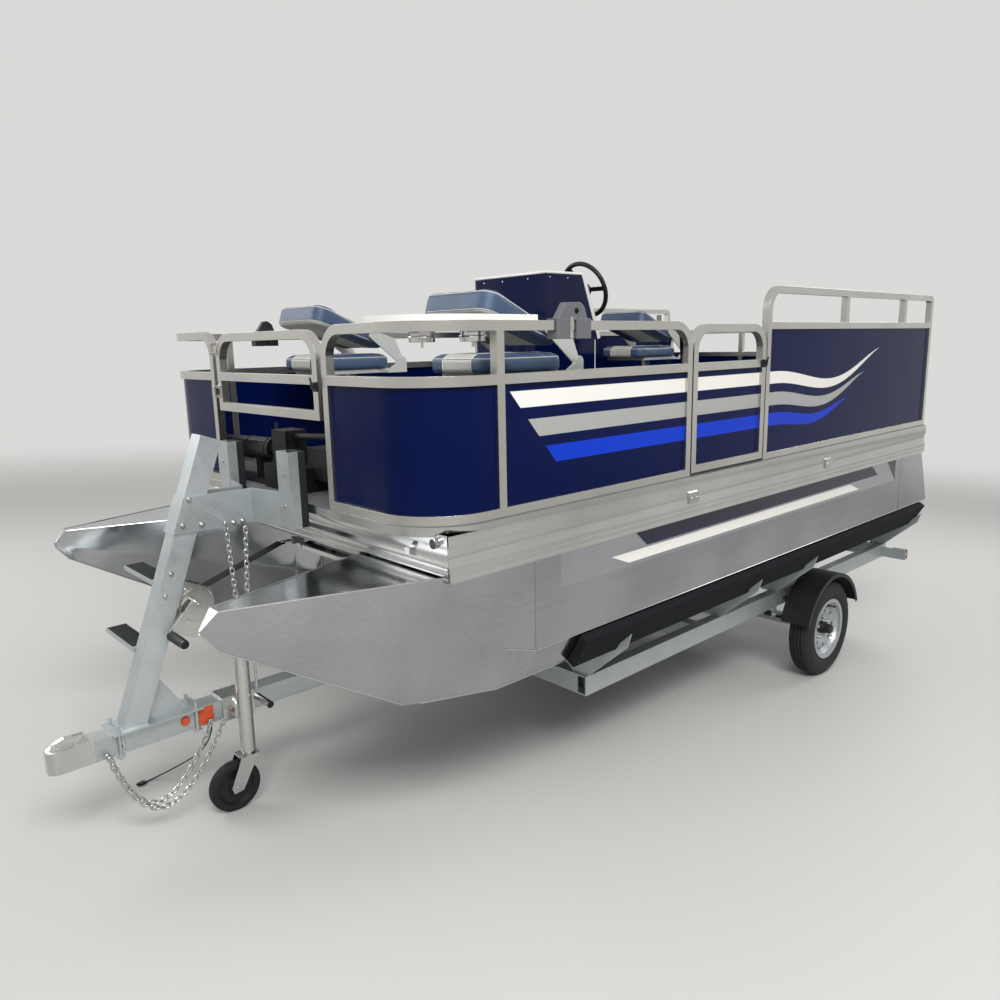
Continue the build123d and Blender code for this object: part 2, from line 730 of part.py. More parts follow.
def spring(x):
    centre = (axle_y, spring_low + spring_radius)
    half = spring_width / 2
    span = math.degrees(math.asin(spring_half / spring_radius))
    pieces = []
    for i, share in enumerate(leaf_shares):
        inner = spring_radius - leaf_thick + i * leaf_thick
        turn = span * share
        pieces.append(arc_band(centre, inner, inner + leaf_thick, -90 - turn, 2 * turn, x - half, x + half))
    pieces.append(block(x - half - 8, x + half + 8, axle_y - 42, axle_y + 42, axle_top, axle_top + 8))
    eyes = (axle_y - spring_half, axle_y + spring_half)
    for y in eyes:
        pieces.append(rod((x - half, y, eye_z), (x + half, y, eye_z), eye_radius))
    whole = fuse(pieces)
    for y in eyes:
        whole = whole - rod((x - half - 1, y, eye_z), (x + half + 1, y, eye_z), eye_bolt + seat_gap)
    return whole


def hanger(x, y):
    half = spring_width / 2 + seat_gap
    plates = [block(edge, edge + hanger_wall, y - 22, y + 22, eye_z - 18, rail_foot)
              for edge in (x - half - hanger_wall, x + half)]
    bolt = rod((x - half - hanger_wall - 8, y, eye_z), (x + half + hanger_wall + 8, y, eye_z), eye_bolt)
    return fuse(plates + [bolt, block(x - half, x + half, y - 22, y + 22, rail_foot - 6, rail_foot)])


nodes["leaf_springs"] = [spring(-rail_x), spring(rail_x)]
hangers = [hanger(side * rail_x, axle_y + s * spring_half) for side in (-1, 1) for s in (-1, 1)]
nodes["trailer_frame"] = fuse([nodes["trailer_frame"]] + hangers)

# Axle: a square beam with a turned spindle at each end
beam_half = 770.0
collar_radius = 22.0
spindle_radius = 14.0
hub_back = wheel_x - 60.0
spindle_end = wheel_x + 36.0


def axle():
    half = axle_side / 2
    beam = block(-beam_half, beam_half, axle_y - half, axle_y + half, axle_z - half, axle_z + half)
    for s in (-1, 1):
        start = (s * beam_half, axle_y, axle_z)
        beam = beam + rod(start, (s * (hub_back - seat_gap), axle_y, axle_z), collar_radius)
        beam = beam + rod(start, (s * spindle_end, axle_y, axle_z), spindle_radius)
    return beam


nodes["axle"] = axle()


def revolve_x(points):
    """A ring about the x axis from an outline of (x, radius) points."""
    face = Plane.XY * make_face(Polyline(*points, close=True))
    return revolve(face, axis=Axis.X)


# Wheels: tyre, pressed rim with a dished disc, and a hub with studs, nuts and a long dust cap.
# Drawn about the x axis, with the middle of the tyre at x = 0 and the outside towards +x.
tyre_half = tyre_width / 2
bead = rim_radius - 16.0
tyre_fit = 0.3
stud_circle = 57.15
stud_count = 5
stud_radius = 6.0
disc_face = 6.0
disc_wall = 4.0
hub_bore = spindle_radius + pin_clearance


def tyre():
    foot = bead + tyre_fit
    outer = [(-46, foot), (-50, 174), (-tyre_half, 205), (-57, 238),
             (-44, tyre_radius - 4), (-24, tyre_radius)]
    inner = [(-38, foot), (-44, 190), (-50, 206), (-46, 236), (-36, 250)]
    return revolve_x(outer + [(-x, r) for x, r in reversed(outer)] + inner_side(inner))


def inner_side(points):
    """The inner run of a hollow outline, back from +x to -x."""
    return [(-x, r) for x, r in points] + list(reversed(points))


def rim():
    wall = 4.0
    drop = rim_radius - 38.0
    outer = [(-54, rim_radius), (-50, rim_radius), (-47, bead), (-34, bead), (-22, drop),
             (12, drop), (24, bead), (47, bead), (50, rim_radius), (54, rim_radius)]
    inner = [(51, bead - wall), (26, bead - wall), (14, drop - wall),
             (-24, drop - wall), (-36, bead - wall), (-51, bead - wall)]
    barrel = revolve_x(outer + inner)
    outside = [(disc_face + disc_wall, 36.5), (disc_face + disc_wall, 69), (19, 82), (27, 98), (24, 112),
               (10, drop - wall + 0.5)]
    inside = [(4, drop - wall + 0.5), (18, 108), (21, 98), (14, 84), (disc_face, 71), (disc_face, 36.5)]
    whole = barrel + revolve_x(outside + inside)
    for i in range(8):
        whole = whole - Rot(i * 45, 0, 0) * rod((-10, 0, 98), (60, 0, 98), 10)
    for i in range(stud_count):
        turn = Rot(i * 360 / stud_count, 0, 0)
        whole = whole - turn * rod((-10, 0, stud_circle), (60, 0, stud_circle), stud_radius + 0.5)
    return whole


def hub():
    cap = [(-60, hub_bore), (-60, 38), (-14, 42), (-6, 70), (disc_face, 70), (disc_face, 35),
           (disc_face + 20, 33), (disc_face + 24, 27), (66, 26), (70, 22), (70, 0), (44, 0), (44, hub_bore)]
    whole = revolve_x(cap)
    for i in range(stud_count):
        turn = Rot(i * 360 / stud_count, 0, 0)
        nut_start = disc_face + disc_wall
        whole = whole + turn * rod((0, 0, stud_circle), (nut_start + 18, 0, stud_circle), stud_radius)
        whole = whole + turn * rod((nut_start, 0, stud_circle), (nut_start + 14, 0, stud_circle), 10)
    return whole


for side, sign in (("port", 1), ("starboard", -1)):
    for kind, shape in (("tyre", tyre()), ("rim", rim()), ("hub", hub())):
        facing = shape if sign > 0 else mirrored(shape)
        nodes[kind + "_" + side] = at(sign * wheel_x, axle_y, axle_z) * facing

# Fenders: moulded arches over the tyres, on brackets from the rails
fender_gap = 48.0
fender_wall = 4.0
fender_inner = wheel_x - tyre_half - 18.0
fender_outer = wheel_x + tyre_half + 18.0
fender_start = 18.0
fender_sweep = 146.0


def fender():
    outer = tyre_radius + fender_gap
    centre = (axle_y, axle_z + 6)
    # each band: its depth below the crown, and the x it runs between
    bands = ((fender_wall, fender_inner, fender_outer),
             (75, fender_inner, fender_inner + fender_wall),
             (22, fender_outer - fender_wall, fender_outer))
    crown, inside, lip = [arc_band(centre, outer - depth, outer, fender_start, fender_sweep, x0, x1)
                          for depth, x0, x1 in bands]
    arms = [block(rail_x + rail_width / 2, fender_inner + 1, axle_y + s * 190 - 18, axle_y + s * 190 + 18,
                  rail_foot + 30, rail_foot + 36) for s in (-1, 1)]
    return fuse([crown, inside, lip] + arms)


nodes["fenders"] = [fender(), mirrored(fender())]

# Winch post: a leaning square tube on a foot plate that two bows clamp to the tongue
post_side = 76.0
post_wall = 4.0
post_foot = Vector(0, -657, tongue_top)
post_head = Vector(0, -300, 240)
post_lean = (post_head - post_foot).normalized()
post_slope = post_lean.Y / post_lean.Z
post_reach = post_side / 2 / post_lean.Z      # from the post's middle line to its face, along y
plate_thick = 6.0
bow_radius = 6.0
bow_places = (-713.0, -448.0)
step_length = 288.0
step_depth = 72.0
step_thick = 16.0


def post_y(z):
    return post_foot.Y + post_slope * (z - post_foot.Z)


def step(front_y, top_z):
    """A boarding step that sticks out from the post's starboard face."""
    x = -post_side / 2 + 1
    return block(x - step_length, x, front_y, front_y + step_depth, top_z - step_thick, top_z)


def winch_post():
    spare = 60.0              # the tube is drawn this much too long and cut level with its plate
    column = box_tube(post_foot - post_lean * spare, post_head, post_side, post_wall, up=(1, 0, 0))
    column = column - block(-post_side, post_side, post_foot.Y - 3 * spare, post_foot.Y + 3 * spare,
                            tongue_top - 2 * spare, tongue_top + plate_thick)
    plate = block(-62, 62, bow_places[0] - 22, bow_places[1] + 22, tongue_top, tongue_top + plate_thick)
    low = tongue_top + plate_thick
    brace = along_x([(post_y(low) + post_reach - 1, low), (bow_places[1] - 20, low),
                     (post_y(low + 150) + post_reach - 1, low + 150)], -4, 4)
    clamps = []
    for y in bow_places:
        for s in (-1, 1):
            x = s * (tongue_half + bow_radius + 1)
            clamps.append(rod((x, y, rail_top - 14), (x, y, low + 22), bow_radius))
        clamps.append(block(-tongue_half - 16, tongue_half + 16, y - 14, y + 14, rail_top - 8, rail_top))
    steps = [step(-525.0, -248.0), step(-613.0, -472.0)]
    return fuse([column, plate, brace] + clamps + steps)


nodes["winch_post"] = winch_post()

# Chains: flat-sided links threaded through each other along sagging curves, held by pins
link_wire = 6.0
link_length = 34.0
link_width = 22.0
link_play = 0.6
link_pitch = link_length - 2 * link_wire - link_play
chain_pin = 4.5


def sag_point(start, low, end, share):
    """A point on the curve that leaves start for low and arrives at end from there."""
    weights = ((1 - share) ** 2, 2 * share * (1 - share), share ** 2)
    return [sum(w * p[i] for w, p in zip(weights, (start, low, end))) for i in range(3)]


def link_ends(start, low, end, count):
    """Points one pitch apart along the curve, the last one as near to its end as it gets."""
    points = [start]
    share = 0.0
    for _ in range(count):
        near, far = share, share + 0.5
        for _ in range(24):
            share = (near + far) / 2
            if math.dist(sag_point(start, low, end, share), points[-1]) < link_pitch:
                near = share
            else:
                far = share
        points.append(sag_point(start, low, end, share))
    return points, share


def chain(start, end, middle, count):
    """count links from start to end, the sag towards middle found so that they fit."""
    shallow, deep = 0.0, 1.0
    half_way = [(a + b) / 2 for a, b in zip(start, end)]
    for _ in range(24):
        depth = (shallow + deep) / 2
        low = [h + depth * (m - h) for h, m in zip(half_way, middle)]
        points, share = link_ends(start, low, end, count)
        if share > 1:
            shallow = depth
        else:
            deep = depth
    links = []
    for i, (a, b) in enumerate(zip(points, points[1:])):
        a, b = Vector(*a), Vector(*b)
        across = (1, 0, 0) if i % 2 else (b - a).cross(Vector(1, 0, 0)).normalized()
        plane = Plane(origin=(a + b) / 2, x_dir=across, z_dir=(b - a).normalized())
        hole = Box(link_width - 2 * link_wire, link_wire + 2, link_length - 2 * link_wire)
        links.append(plane * (Box(link_width, link_wire, link_length) - hole))
    return links, points


def chain_pins(points, root, tip):
    """The two pins across x that carry a chain by its end links."""
    pins = []
    for a, b in ((points[0], points[1]), (points[-1], points[-2])):
        a, b = Vector(*a), Vector(*b)
        centre = a + (b - a).normalized() * chain_pin
        pins.append(rod((root, centre.Y, centre.Z), (tip, centre.Y, centre.Z), chain_pin))
    return pins


# A loop of chain hangs from the port plate of the bow stops' bracket, and two safety chains
# hang from pins in the side of the tongue
loop_links, loop_points = chain((56.0, -280.0, -66.0), (56.0, -207.0, -66.0), (56.0, -250.0, -1200.0), 39)
loop_pins = chain_pins(loop_points, post_side / 2, 60.0)
safety_chains = [chain((52.0, -758.0, -788.0), (52.0, -398.0, -788.0), (50.0, -690.0, -1700.0), 29),
                 chain((78.0, -758.0, -788.0), (78.0, -362.0, -788.0), (86.0, -700.0, -1800.0), 31)]
safety_pins = [pin for _, points in safety_chains
               for pin in chain_pins(points, tongue_half - 1, points[0][0] + 5)]
nodes["chains"] = loop_links + [link for links, _ in safety_chains for link in links]
nodes["trailer_frame"] = fuse([nodes["trailer_frame"]] + safety_pins)

# Lead of the trailer's lamps: it hangs out of the tongue and lies on the floor, with a flat plug
lead_radius = 2.75
lead_floor = lead_radius + seat_gap
lead_points = ((0.0, -378.0, rail_top), (0.0, -378.0, rail_top - 106),
               (-335.0, -441.0, floor_at(-441.0) + lead_floor),
               (-312.0, -536.0, floor_at(-536.0) + lead_floor))
plug_length, plug_width, plug_thick = 40.0, 20.0, 9.0


def bend_radii(points):
    """The largest bend at each corner that leaves a straight middle in both of its runs."""
    radii = []
    for a, b, c in zip(points, points[1:], points[2:]):
        run_in, run_out = Vector(*b) - Vector(*a), Vector(*c) - Vector(*b)
        half_turn = math.radians(run_in.get_angle(run_out)) / 2
        radii.append(0.45 * min(run_in.length, run_out.length) / math.tan(half_turn))
    return radii


def wiring_lead():
    radii = bend_radii(lead_points)
    print("lead bends", [round(r, 2) for r in radii])
    path = FilletPolyline(*lead_points, radius=radii)
    return sweep(Plane(origin=path @ 0, z_dir=path % 0) * Circle(lead_radius), path=path)


def lead_plug():
    end, before = Vector(*lead_points[-1]), Vector(*lead_points[-2])
    heading = (end - before).normalized()
    plane = Plane(origin=end + heading * (plug_length / 2 + seat_gap), x_dir=heading,
                  z_dir=Vector(0, 0, 1).rotate(Axis.X, -nose_down))
    return plane * at(0, 0, plug_thick / 2 - lead_radius) * Box(plug_length, plug_width, plug_thick)


nodes["wiring_lead"] = wiring_lead()
nodes["lead_plug"] = lead_plug()

# Bow stops: two padded uprights on arms that spread from the winch post
stop_x = 240.0
stop_half = 42.0
stop_low = -82.0
stop_high = 190.0
stop_depth = 38.0
stop_wall = 5.0
pad_thick = 30.0
pad_back = deck_front - seat_gap
stop_back = pad_back - pad_thick
arm_plate = 6.0
arm_low = -82.0
arm_high = 44.0
arm_bend = -165.0


def spread_arm(s):
    """One side plate of the bracket with the arm that it bends out into."""
    x0 = s * post_side / 2
    x1 = x0 + s * arm_plate
    plate = along_x([(post_y(arm_low) - post_reach, arm_low), (post_y(arm_high) - post_reach, arm_high),
                     (arm_bend, arm_high), (arm_bend, arm_low)], min(x0, x1), max(x0, x1))
    front = stop_back - stop_depth + 10
    plan = Polyline((x0, arm_bend - 8), (x1, arm_bend - 8), (s * (stop_x - stop_half + 1), front - 8),
                    (s * (stop_x - stop_half + 1), front), (x0, arm_bend), close=True)
    return plate + at(0, 0, arm_low) * extrude(make_face(plan), arm_high - arm_low)


def post_band(low, high, near, thick, half):
    """A flat band across the post between two heights, from a distance near off its middle line."""
    return along_x([(post_y(low) + near, low), (post_y(high) + near, high),
                    (post_y(high) + near + thick, high), (post_y(low) + near + thick, low)], -half, half)


def bow_stops():
    front = post_band(arm_low, arm_high, -post_reach - arm_plate, arm_plate, post_side / 2 + arm_plate)
    pieces = [front] + loop_pins
    for s in (-1, 1):
        x0, x1 = s * stop_x - stop_half, s * stop_x + stop_half
        outside = block(x0, x1, stop_back - stop_depth, stop_back, stop_low, stop_high)
        inside = block(x0 + stop_wall, x1 - stop_wall, stop_back - stop_depth + stop_wall, stop_back + 1,
                       stop_low - 1, stop_high + 1)
        pieces += [spread_arm(s), outside - inside]
    return fuse(pieces)


nodes["bow_stops"] = bow_stops()
nodes["bow_stop_pads"] = [block(x - stop_half, x + stop_half, stop_back + seat_gap, pad_back,
                                stop_low, stop_high) for x in (-stop_x, stop_x)]

# Winch on the post's aft face
winch_z = -345.0
winch_y = post_y(winch_z) + 105
drum_radius = 32.0
cheek_x = 34.0
cheek_low, cheek_high = winch_z - 88, winch_z + 92
gear_radius = 58.0
crank_y, crank_z = winch_y - 12, winch_z + 19
grip_y, grip_z = crank_y - 94, crank_z - 99


def strut(start, end, half, x0, x1):
    """A flat bar between two (y, z) points, from x0 to x1."""
    run = math.hypot(end[0] - start[0], end[1] - start[1])
    dy, dz = (end[0] - start[0]) / run * half, (end[1] - start[1]) / run * half
    return along_x([(start[0] - dz, start[1] + dy), (end[0] - dz, end[1] + dy),
                    (end[0] + dz, end[1] - dy), (start[0] + dz, start[1] - dy)], x0, x1)


def winch():
    outline = [(post_y(cheek_low) + post_reach, cheek_low), (post_y(cheek_high) + post_reach, cheek_high),
               (winch_y + 64, winch_z + 48), (winch_y + 60, winch_z - 50), (winch_y + 42, winch_z - 118),
               (winch_y - 12, winch_z - 120)]
    cheeks = [along_x(outline, s * cheek_x - 2, s * cheek_x + 2) for s in (-1, 1)]
    back = post_band(cheek_low, cheek_high, post_reach, 4, cheek_x + 2)
    drum = rod((-cheek_x, winch_y + 5, winch_z), (cheek_x, winch_y + 5, winch_z), drum_radius)
    gear = rod((cheek_x + 4, winch_y + 5, winch_z), (cheek_x + 10, winch_y + 5, winch_z), gear_radius)
    gear_boss = rod((cheek_x, winch_y + 5, winch_z), (cheek_x + 14, winch_y + 5, winch_z), 12)
    shaft = rod((-cheek_x - 2, crank_y, crank_z), (70, crank_y, crank_z), 8)
    arm = strut((crank_y, crank_z), (grip_y, grip_z), 11, 62, 68)
    grip = rod((66, grip_y, grip_z), (190, grip_y, grip_z), 15)
    return fuse(cheeks + [back, drum, gear, gear_boss, shaft, arm, grip])


nodes["winch"] = winch()

# Strap from the drum to the eye under the deck's front edge
eye_y = 12.0
tow_eye_z = skirt_foot - 24.0
strap_width = 50.0
strap_thick = 2.4


def winch_strap():
    start = Vector(0, winch_y + 8, winch_z + drum_radius + 4)
    end = Vector(0, eye_y - 58, tow_eye_z)
    along = (end - start).normalized()
    plane = Plane(origin=start, x_dir=(1, 0, 0), z_dir=along)
    band = extrude(plane * Rectangle(strap_width, strap_thick), (end - start).length)
    hook = rod(end, Vector(0, eye_y - 12, tow_eye_z), 6)
    return fuse([band, hook, rod((-strap_width / 2, end.Y, end.Z), (strap_width / 2, end.Y, end.Z), 5)])


nodes["winch_strap"] = winch_strap()
tow_eye = fuse([block(-4, 4, eye_y - 12 + seat_gap, eye_y + 40, tow_eye_z - 16, tow_eye_z + 16),
                block(-30, 30, eye_y, member_first + member_width, tow_eye_z + 16, skirt_foot),
                block(-30, 30, member_first, member_first + member_width, skirt_foot - 2, member_foot)])
nodes["cross_members"].append(tow_eye)

# Coupler at the tongue's front end, with its latch lever
coupler_length = 140.0
coupler_half = 40.0
ball_radius = 26.0
ball_back = 45.0              # from the coupler's tip to the ball's centre


def coupler():
    tip = tongue_front - coupler_length
    body = block(-coupler_half, coupler_half, tip, tongue_front, rail_top, tongue_top)
    body = fillet([e for e in body.edges().filter_by(Axis.Z) if e.center().Y < tip + 1], 32)
    ball = Vector(0, tip + ball_back, rail_top + 12)
    way_in = rod((0, ball.Y, rail_top - 30), ball, ball_radius)
    socket = Pos(ball) * Sphere(ball_radius) + way_in
    lever = along_x([(tip + 10, tongue_top), (tip + 96, tongue_top), (tip + 120, tongue_top + 26),
                     (tip + 60, tongue_top + 30), (tip + 20, tongue_top + 16)], -9, 9)
    return body - socket + lever


nodes["coupler"] = coupler()

# Jack beside the tongue: clamp, tubes, gear head and crank
jack_radius = 27.0
jack_inner = 22.0
jack_top = -500.0
jack_foot = -925.0
leg_foot = -934.0
grip_drop = 240.0


def jack():
    wall, half = 8.0, 60.0
    clamp = block(-tongue_half - wall, tongue_half + wall, jack_y - half, jack_y + half,
                  rail_top - wall, tongue_top + wall)
    tongue = block(-tongue_half, tongue_half, jack_y - half - 1, jack_y + half + 1, rail_top, tongue_top)
    pivot = rod((tongue_half + 6, jack_y, tongue_mid), (jack_x, jack_y, tongue_mid), 40)
    outer = rod((jack_x, jack_y, jack_foot), (jack_x, jack_y, jack_top), jack_radius)
    inner = rod((jack_x, jack_y, leg_foot), (jack_x, jack_y, jack_foot + 5), jack_inner)
    head = rod((jack_x, jack_y, jack_top), (jack_x, jack_y, jack_top + 24), jack_radius + 5)
    crank_z = jack_top + 10
    arm_y, grip_z = jack_y + 52, crank_z - grip_drop
    crank = rod((jack_x, jack_y + 20, crank_z), (jack_x, arm_y + 6, crank_z), 6)
    arm = rod((jack_x, arm_y, crank_z + 8), (jack_x, arm_y, grip_z), 5)
    grip = rod((jack_x - 8, arm_y, grip_z), (jack_x + 104, arm_y, grip_z), 13)
    return fuse([clamp - tongue, pivot, outer, inner, head, crank, arm, grip])


nodes["jack"] = jack()

# Jack wheel in a swivelling fork
fork_half = 28.0
fork_wall = 4.0
fork_top = leg_foot - seat_gap
caster_bolt = 8.0


def caster_fork():
    deck = block(jack_x - fork_half - fork_wall, jack_x + fork_half + fork_wall, jack_y - 44, jack_y + 30,
                 fork_top - 8, fork_top)
    outline = [(jack_y - 44, fork_top - 4), (jack_y + 24, fork_top - 4), (caster_y + 20, caster_z - 14),
               (caster_y - 16, caster_z - 18), (caster_y - 24, caster_z + 6)]
    legs = [along_x(outline, x, x + fork_wall)
            for x in (jack_x - fork_half - fork_wall, jack_x + fork_half)]
    bolt = rod((jack_x - fork_half - fork_wall - 6, caster_y, caster_z),
               (jack_x + fork_half + fork_wall + 6, caster_y, caster_z), caster_bolt)
    return fuse([deck, bolt] + legs)


def caster_wheel():
    bore = caster_bolt + pin_clearance
    outline = [(-22, bore), (-22, 26), (-10, 30), (-10, 62), (-20, 68), (-20, caster_radius - 8),
               (-13, caster_radius)]
    return at(jack_x, caster_y, caster_z) * revolve_x(outline + [(-x, r) for x, r in reversed(outline)])


nodes["caster_fork"] = caster_fork()
nodes["caster_wheel"] = caster_wheel()

# Tail lamps on arms behind the side rails
lamp_arm_end = 900.0


def lamp_arm():
    y = rail_back - 60
    arm = block(rail_x + rail_width / 2, lamp_arm_end, y, y + 6, rail_foot + 4, rail_foot + 70)
    return arm + block(lamp_arm_end - 95, lamp_arm_end - 5, y + 6, y + 46, rail_foot + 8, rail_foot + 66)


nodes["tail_lamps"] = [lamp_arm(), mirrored(lamp_arm())]

# Outboard bracket: a transom plate on two arms under the stern of the deck
transom_y = 3985.0
transom_low = -520.0
transom_thick = 32.0


def motor_bracket():
    start, face = member_last - 800, transom_y - transom_thick
    plate = block(-transom_half, transom_half, face, transom_y, transom_low, member_foot)
    outline = [(start, member_foot), (face, member_foot), (face, transom_low),
               (member_last - 120, member_foot - 70), (start, member_foot - 30)]
    arms = [along_x(outline, x - arm_half, x + arm_half) for x in (-arm_x, arm_x)]
    return fuse([plate] + arms)


nodes["motor_bracket"] = motor_bracket()

# Folding ladder stowed under the front of the deck
ladder_x = 262.0
ladder_half = 150.0
ladder_front = -30.0
ladder_z = skirt_foot - 22.0


def ladder():
    end = ladder_front + 330.0
    rails = [rod((x, ladder_front, ladder_z), (x, end, ladder_z), 11)
             for x in (ladder_x - ladder_half, ladder_x + ladder_half)]
    treads = [block(ladder_x - ladder_half, ladder_x + ladder_half, y, y + 44, ladder_z - 10, ladder_z + 6)
              for y in (ladder_front + 4, ladder_front + 64, ladder_front + 124)]
    hanger_y = ladder_front + 126
    hangers = [block(x - 12, x + 12, hanger_y, hanger_y + 6, ladder_z, member_foot)
               for x in (ladder_x - ladder_half + 30, ladder_x + ladder_half - 30)]
    return fuse(rails + treads + hangers)


nodes["ladder"] = ladder()

# Serving tray over the front port corner of the fence, with two drained steel cups let into it
tray_z = fence_height
tray_thick = 18.0
tray_edge = 8.0               # how far the board stays inside the fence's outer face
tray_start = 676.0            # its end on the front rail
tray_back = 410.0             # its end on the side rail
tray_inner = ((fence_half - 109.0, tray_back), (690.0, 60.0))
cup_radius = 38.0
cup_wall = 3.0
cup_depth = 62.0
cup_places = ((760.0, 90.0), (845.0, 225.0))


def tray_board():
    radius = corner_radius - tray_edge
    cx, cy = fence_half - corner_radius, fence_front + corner_radius
    front, side = cy - radius, cx + radius
    corners = [(side, cy), (side, tray_back), *tray_inner, (tray_start, front), (cx, front)]
    rim = [Line(a, b) for a, b in zip(corners, corners[1:])]
    rim.append(CenterArc((cx, cy), radius, -90, 90))
    board = at(0, 0, tray_z) * extrude(make_face(Wire(rim)), tray_thick)
    hole = cup_radius + cup_wall + seat_gap
    for x, y in cup_places:
        board = board - rod((x, y, tray_z - 1), (x, y, tray_z + tray_thick + 1), hole)
    return board


def cup(x, y):
    """A steel cup: its flange lies on the board, a collar grips it from below and a peg drains it."""
    outer = cup_radius + cup_wall
    foot = tray_z - cup_depth
    brim = tray_z + tray_thick + seat_gap
    body = rod((x, y, foot), (x, y, brim + 2), outer)
    flange = rod((x, y, brim), (x, y, brim + 2), outer + 6)
    collar = rod((x, y, tray_z - 20), (x, y, tray_z - seat_gap), outer + 5)
    peg = rod((x, y, foot - 16), (x, y, foot), 4)
    return fuse([body, flange, collar, peg]) - rod((x, y, foot + cup_wall), (x, y, brim + 3), cup_radius)


nodes["serving_tray"] = [tray_board()] + [cup(x, y) for x, y in cup_places]

# Fittings of deck and skirt: mooring cleats, bow lamps and a small rail stud
cleat_x = fence_half - 109.0
cleat_places = (330.0, deck_length - 200.0)
lamp_x = 909.0
lamp_z = -48.0


def cleat(x, y, z):
    base = block(x - 14, x + 14, y - 34, y + 34, z, z + 6)
    horn = rod((x, y - 76, z + 30), (x, y + 76, z + 30), 7)
    legs = [rod((x, y + s * 18, z + 3), (x, y + s * 18, z + 30), 7) for s in (-1, 1)]
    return fuse([base, horn] + legs)


def bow_lamp(x):
    """A chrome lamp on the front skirt's upper band."""
    return rod((x, -14.0, lamp_z), (x, -seat_gap, lamp_z), 16)


port_cleats = [cleat(cleat_x, y, 0.0) for y in cleat_places]
skirt_fitting = block(757.0, 781.0, -8.0, skirt_recess - seat_gap, -104.0, -84.0)
stud_y = 1066.0
stud = rod((rail_side, stud_y, fence_height + seat_gap), (rail_side, stud_y, fence_height + 22), 9)
nodes["deck_fittings"] = port_cleats + [mirrored(c) for c in port_cleats]
nodes["deck_fittings"] += [bow_lamp(-lamp_x), bow_lamp(lamp_x), skirt_fitting, stud]

# Clamps on the top rails that accessories are hung from: two jaws joined by a saddle with a lug
jaw_wall = 7.0
jaw_share = 0.43              # length of each jaw as a share of the clamp's
jaw_drop = 28.0


def rail_clamp(y0, y1):
    """A clamp round the port top rail between y0 and y1, its lug standing on the saddle."""
    reach = half_tube + jaw_wall
    low, high = fence_height - tube, fence_height
    jaw = jaw_share * (y1 - y0)
    jaws = [block(rail_side - reach, rail_side + reach, a, a + jaw, low - jaw_drop, high + jaw_wall)
            for a in (y0, y1 - jaw)]
    saddle = block(rail_side - reach, rail_side + reach, y0, y1, high + seat_gap, high + jaw_wall)
    lug = along_x([(y0 + 16, high + jaw_wall - 1), (y0 + 54, high + 58), (y1 - 44, high + 60),
                   (y1 - 22, high + 44), (y1 - 8, high + jaw_wall - 1)], rail_side - 13, rail_side + 13)
    grip = half_tube + seat_gap
    rail = block(rail_side - grip, rail_side + grip, y0 - 1, y1 + 1, low - seat_gap, high + seat_gap)
    return fuse(jaws + [saddle, lug]) - rail


nodes["rail_clamps"] = [rail_clamp(482.0, 652.0), mirrored(rail_clamp(368.0, 488.0))]

# Electric motor stowed across the bow deck. Its pod rests on two cradles of a long base, its shaft
# runs aft to the head on the deck, and the mount's arm and box stand at the base's other end.
pod_radius = 46.0
pod_turn = 12.0               # the pod's axis is turned this far aft from the line across the boat
pod_end = Vector(-270.0, 97.0, 135.0)     # the end that carries the propeller
pod_length = 337.0
pod_aim = Vector(math.cos(math.radians(pod_turn)), math.sin(math.radians(pod_turn)), 0)
pod_nose = pod_end - pod_aim * pod_length
motor_base_height = 14.0
shaft_end = Vector(-475.0, 420.0, 78.0)


def cradle(share):
    """A rest under the pod, at a share of its length from the nose."""
    rest = pod_nose + pod_aim * (pod_length * share)
    top = rest.Z - pod_radius + 12
    return block(rest.X - 14, rest.X + 14, rest.Y - 30, rest.Y + 30, motor_base_height - 1, top)


def bow_motor():
    pod = fuse([rod(pod_nose, pod_end, pod_radius), Pos(pod_nose) * Sphere(pod_radius)])
    middle = pod_nose + pod_aim * (pod_length * 0.5)
    shaft = rod(middle, shaft_end, 14)
    head = block(shaft_end.X - 50, shaft_end.X + 50, shaft_end.Y - 20, shaft_end.Y + 95, 0.0, 92.0)
    plate = block(pod_nose.X + 20, -180.0, 20.0, 100.0, 0, motor_base_height)
    base = block(-185.0, 90.0, 0.0, 130.0, 0, 95)
    mount = block(-140.0, -30.0, 20.0, 110.0, 94, 230)
    arm = rod((-40.0, 60.0, 205.0), (300.0, 100.0, 222.0), 12)
    box = block(60.0, 330.0, 60.0, 190.0, 50, 170)
    post = block(270.0, 300.0, 80.0, 120.0, 160, 225)
    return fuse([pod, shaft, head, plate, cradle(0.22), cradle(0.78), base, mount, arm, box, post])


nodes["bow_motor"] = bow_motor()
blade_length = 90.0


def bow_propeller():
    plane = Plane(origin=pod_end + pod_aim * 2, x_dir=(0, 0, 1), z_dir=pod_aim)
    boss = plane * at(0, 0, 18) * Cylinder(30, 36)
    pin = plane * at(0, 0, -seat_gap) * Cylinder(8, 2)
    blade = at(22 + blade_length / 2, 0, 18) * Rot(30, 0, 0) * Box(blade_length, 56, 5)
    blades = [plane * Rot(0, 0, a) * blade for a in (0, 180)]
    return fuse([boss, pin] + blades)


nodes["bow_propeller"] = bow_propeller()

